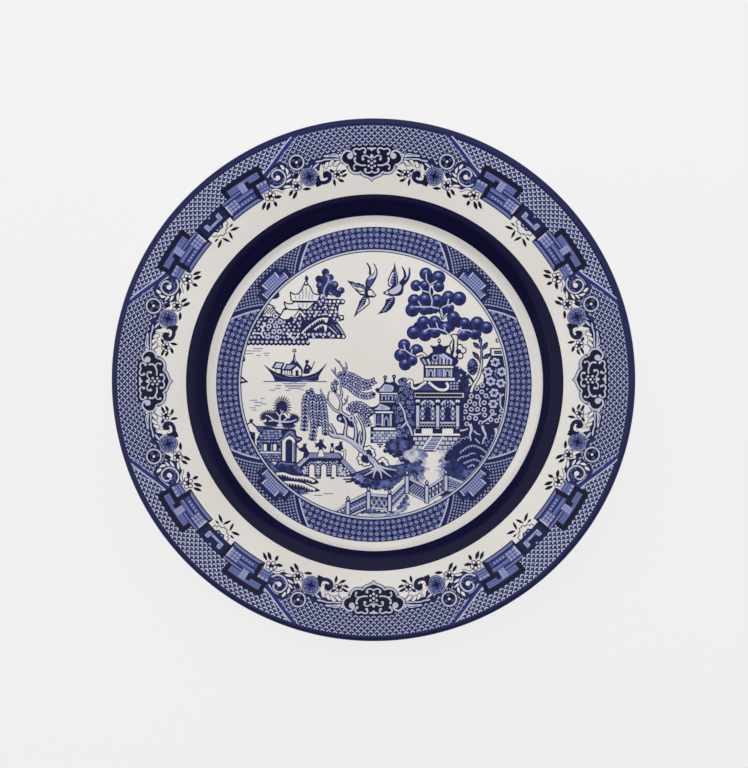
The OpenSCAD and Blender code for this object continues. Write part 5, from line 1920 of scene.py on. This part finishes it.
def add_floor():
    mesh = bpy.data.meshes.new("floor")
    s = FLOOR_HALF
    mesh.from_pydata([(-s, -s, 0), (s, -s, 0), (s, s, 0), (-s, s, 0)], [], [(0, 1, 2, 3)])
    mesh.materials.append(floor_material())
    floor = bpy.data.objects.new("floor", mesh)
    bpy.context.scene.collection.objects.link(floor)


def add_light(name, azimuth, elevation, distance, size, power):
    """A square softbox that faces the plate."""
    data = bpy.data.lights.new(name, "AREA")
    data.shape = "SQUARE"
    data.size = size
    data.energy = power
    light = bpy.data.objects.new(name, data)
    a, e = math.radians(azimuth), math.radians(elevation)
    where = Vector((math.cos(a) * math.cos(e), math.sin(a) * math.cos(e), math.sin(e))) * distance
    light.location = where
    light.rotation_euler = (-where).to_track_quat("-Z", "Y").to_euler()
    bpy.context.scene.collection.objects.link(light)


def add_world():
    """Faint bluish light from all sides, in front of a pale backdrop."""
    world = bpy.data.worlds.new("studio")
    world.use_nodes = True
    nodes, links = world.node_tree.nodes, world.node_tree.links
    fill = nodes["Background"]
    fill.inputs["Color"].default_value = FILL_LIGHT
    fill.inputs["Strength"].default_value = FILL_STRENGTH
    backdrop = nodes.new("ShaderNodeBackground")
    backdrop.inputs["Color"].default_value = colour(*BACKDROP_TONE)
    path = nodes.new("ShaderNodeLightPath")
    mix = nodes.new("ShaderNodeMixShader")
    links.new(path.outputs["Is Camera Ray"], mix.inputs["Fac"])
    links.new(fill.outputs["Background"], mix.inputs[1])
    links.new(backdrop.outputs["Background"], mix.inputs[2])
    links.new(mix.outputs["Shader"], nodes["World Output"].inputs["Surface"])
    bpy.context.scene.world = world


def add_camera():
    data = bpy.data.cameras.new("camera")
    data.lens = SENSOR_WIDTH * CAMERA_DISTANCE / VIEW_HEIGHT
    data.sensor_width = SENSOR_WIDTH
    data.clip_end = 50
    camera = bpy.data.objects.new("camera", data)
    tilt = math.radians(90 - CAMERA_ELEVATION)
    aim = Vector(CAMERA_AIM)
    camera.location = aim + CAMERA_DISTANCE * Vector((0, -math.sin(tilt), math.cos(tilt)))
    camera.rotation_euler = (tilt, 0, 0)
    bpy.context.scene.collection.objects.link(camera)
    bpy.context.scene.camera = camera


FLOOR_HALF = 6.0
FLOOR_TONE, FLOOR_ROUGHNESS, FLOOR_GLOW = (100, 100, 100), 0.9, 0.763
FILL_LIGHT, FILL_STRENGTH = (0.9, 0.95, 1, 1), 0.1
BACKDROP_TONE = (238, 238, 238)
SENSOR_WIDTH = 36
CAMERA_DISTANCE = 2.5
CAMERA_ELEVATION = 87
CAMERA_AIM = (0.00024, -0.00257, 0.023)
VIEW_HEIGHT = 0.38106      # how much of the table the picture shows, in metres
add_floor()
add_light("softbox_back", azimuth=80, elevation=35, distance=0.6, size=0.4, power=0.85)
add_light("softbox_left", azimuth=174, elevation=35, distance=1, size=1, power=5.1)
add_light("softbox_right", azimuth=6, elevation=35, distance=1, size=1, power=3.4)
add_light("softbox_over", azimuth=90, elevation=78, distance=1.2, size=1, power=5.4)
add_world()
bpy.context.scene.view_settings.view_transform = "Standard"
add_camera()
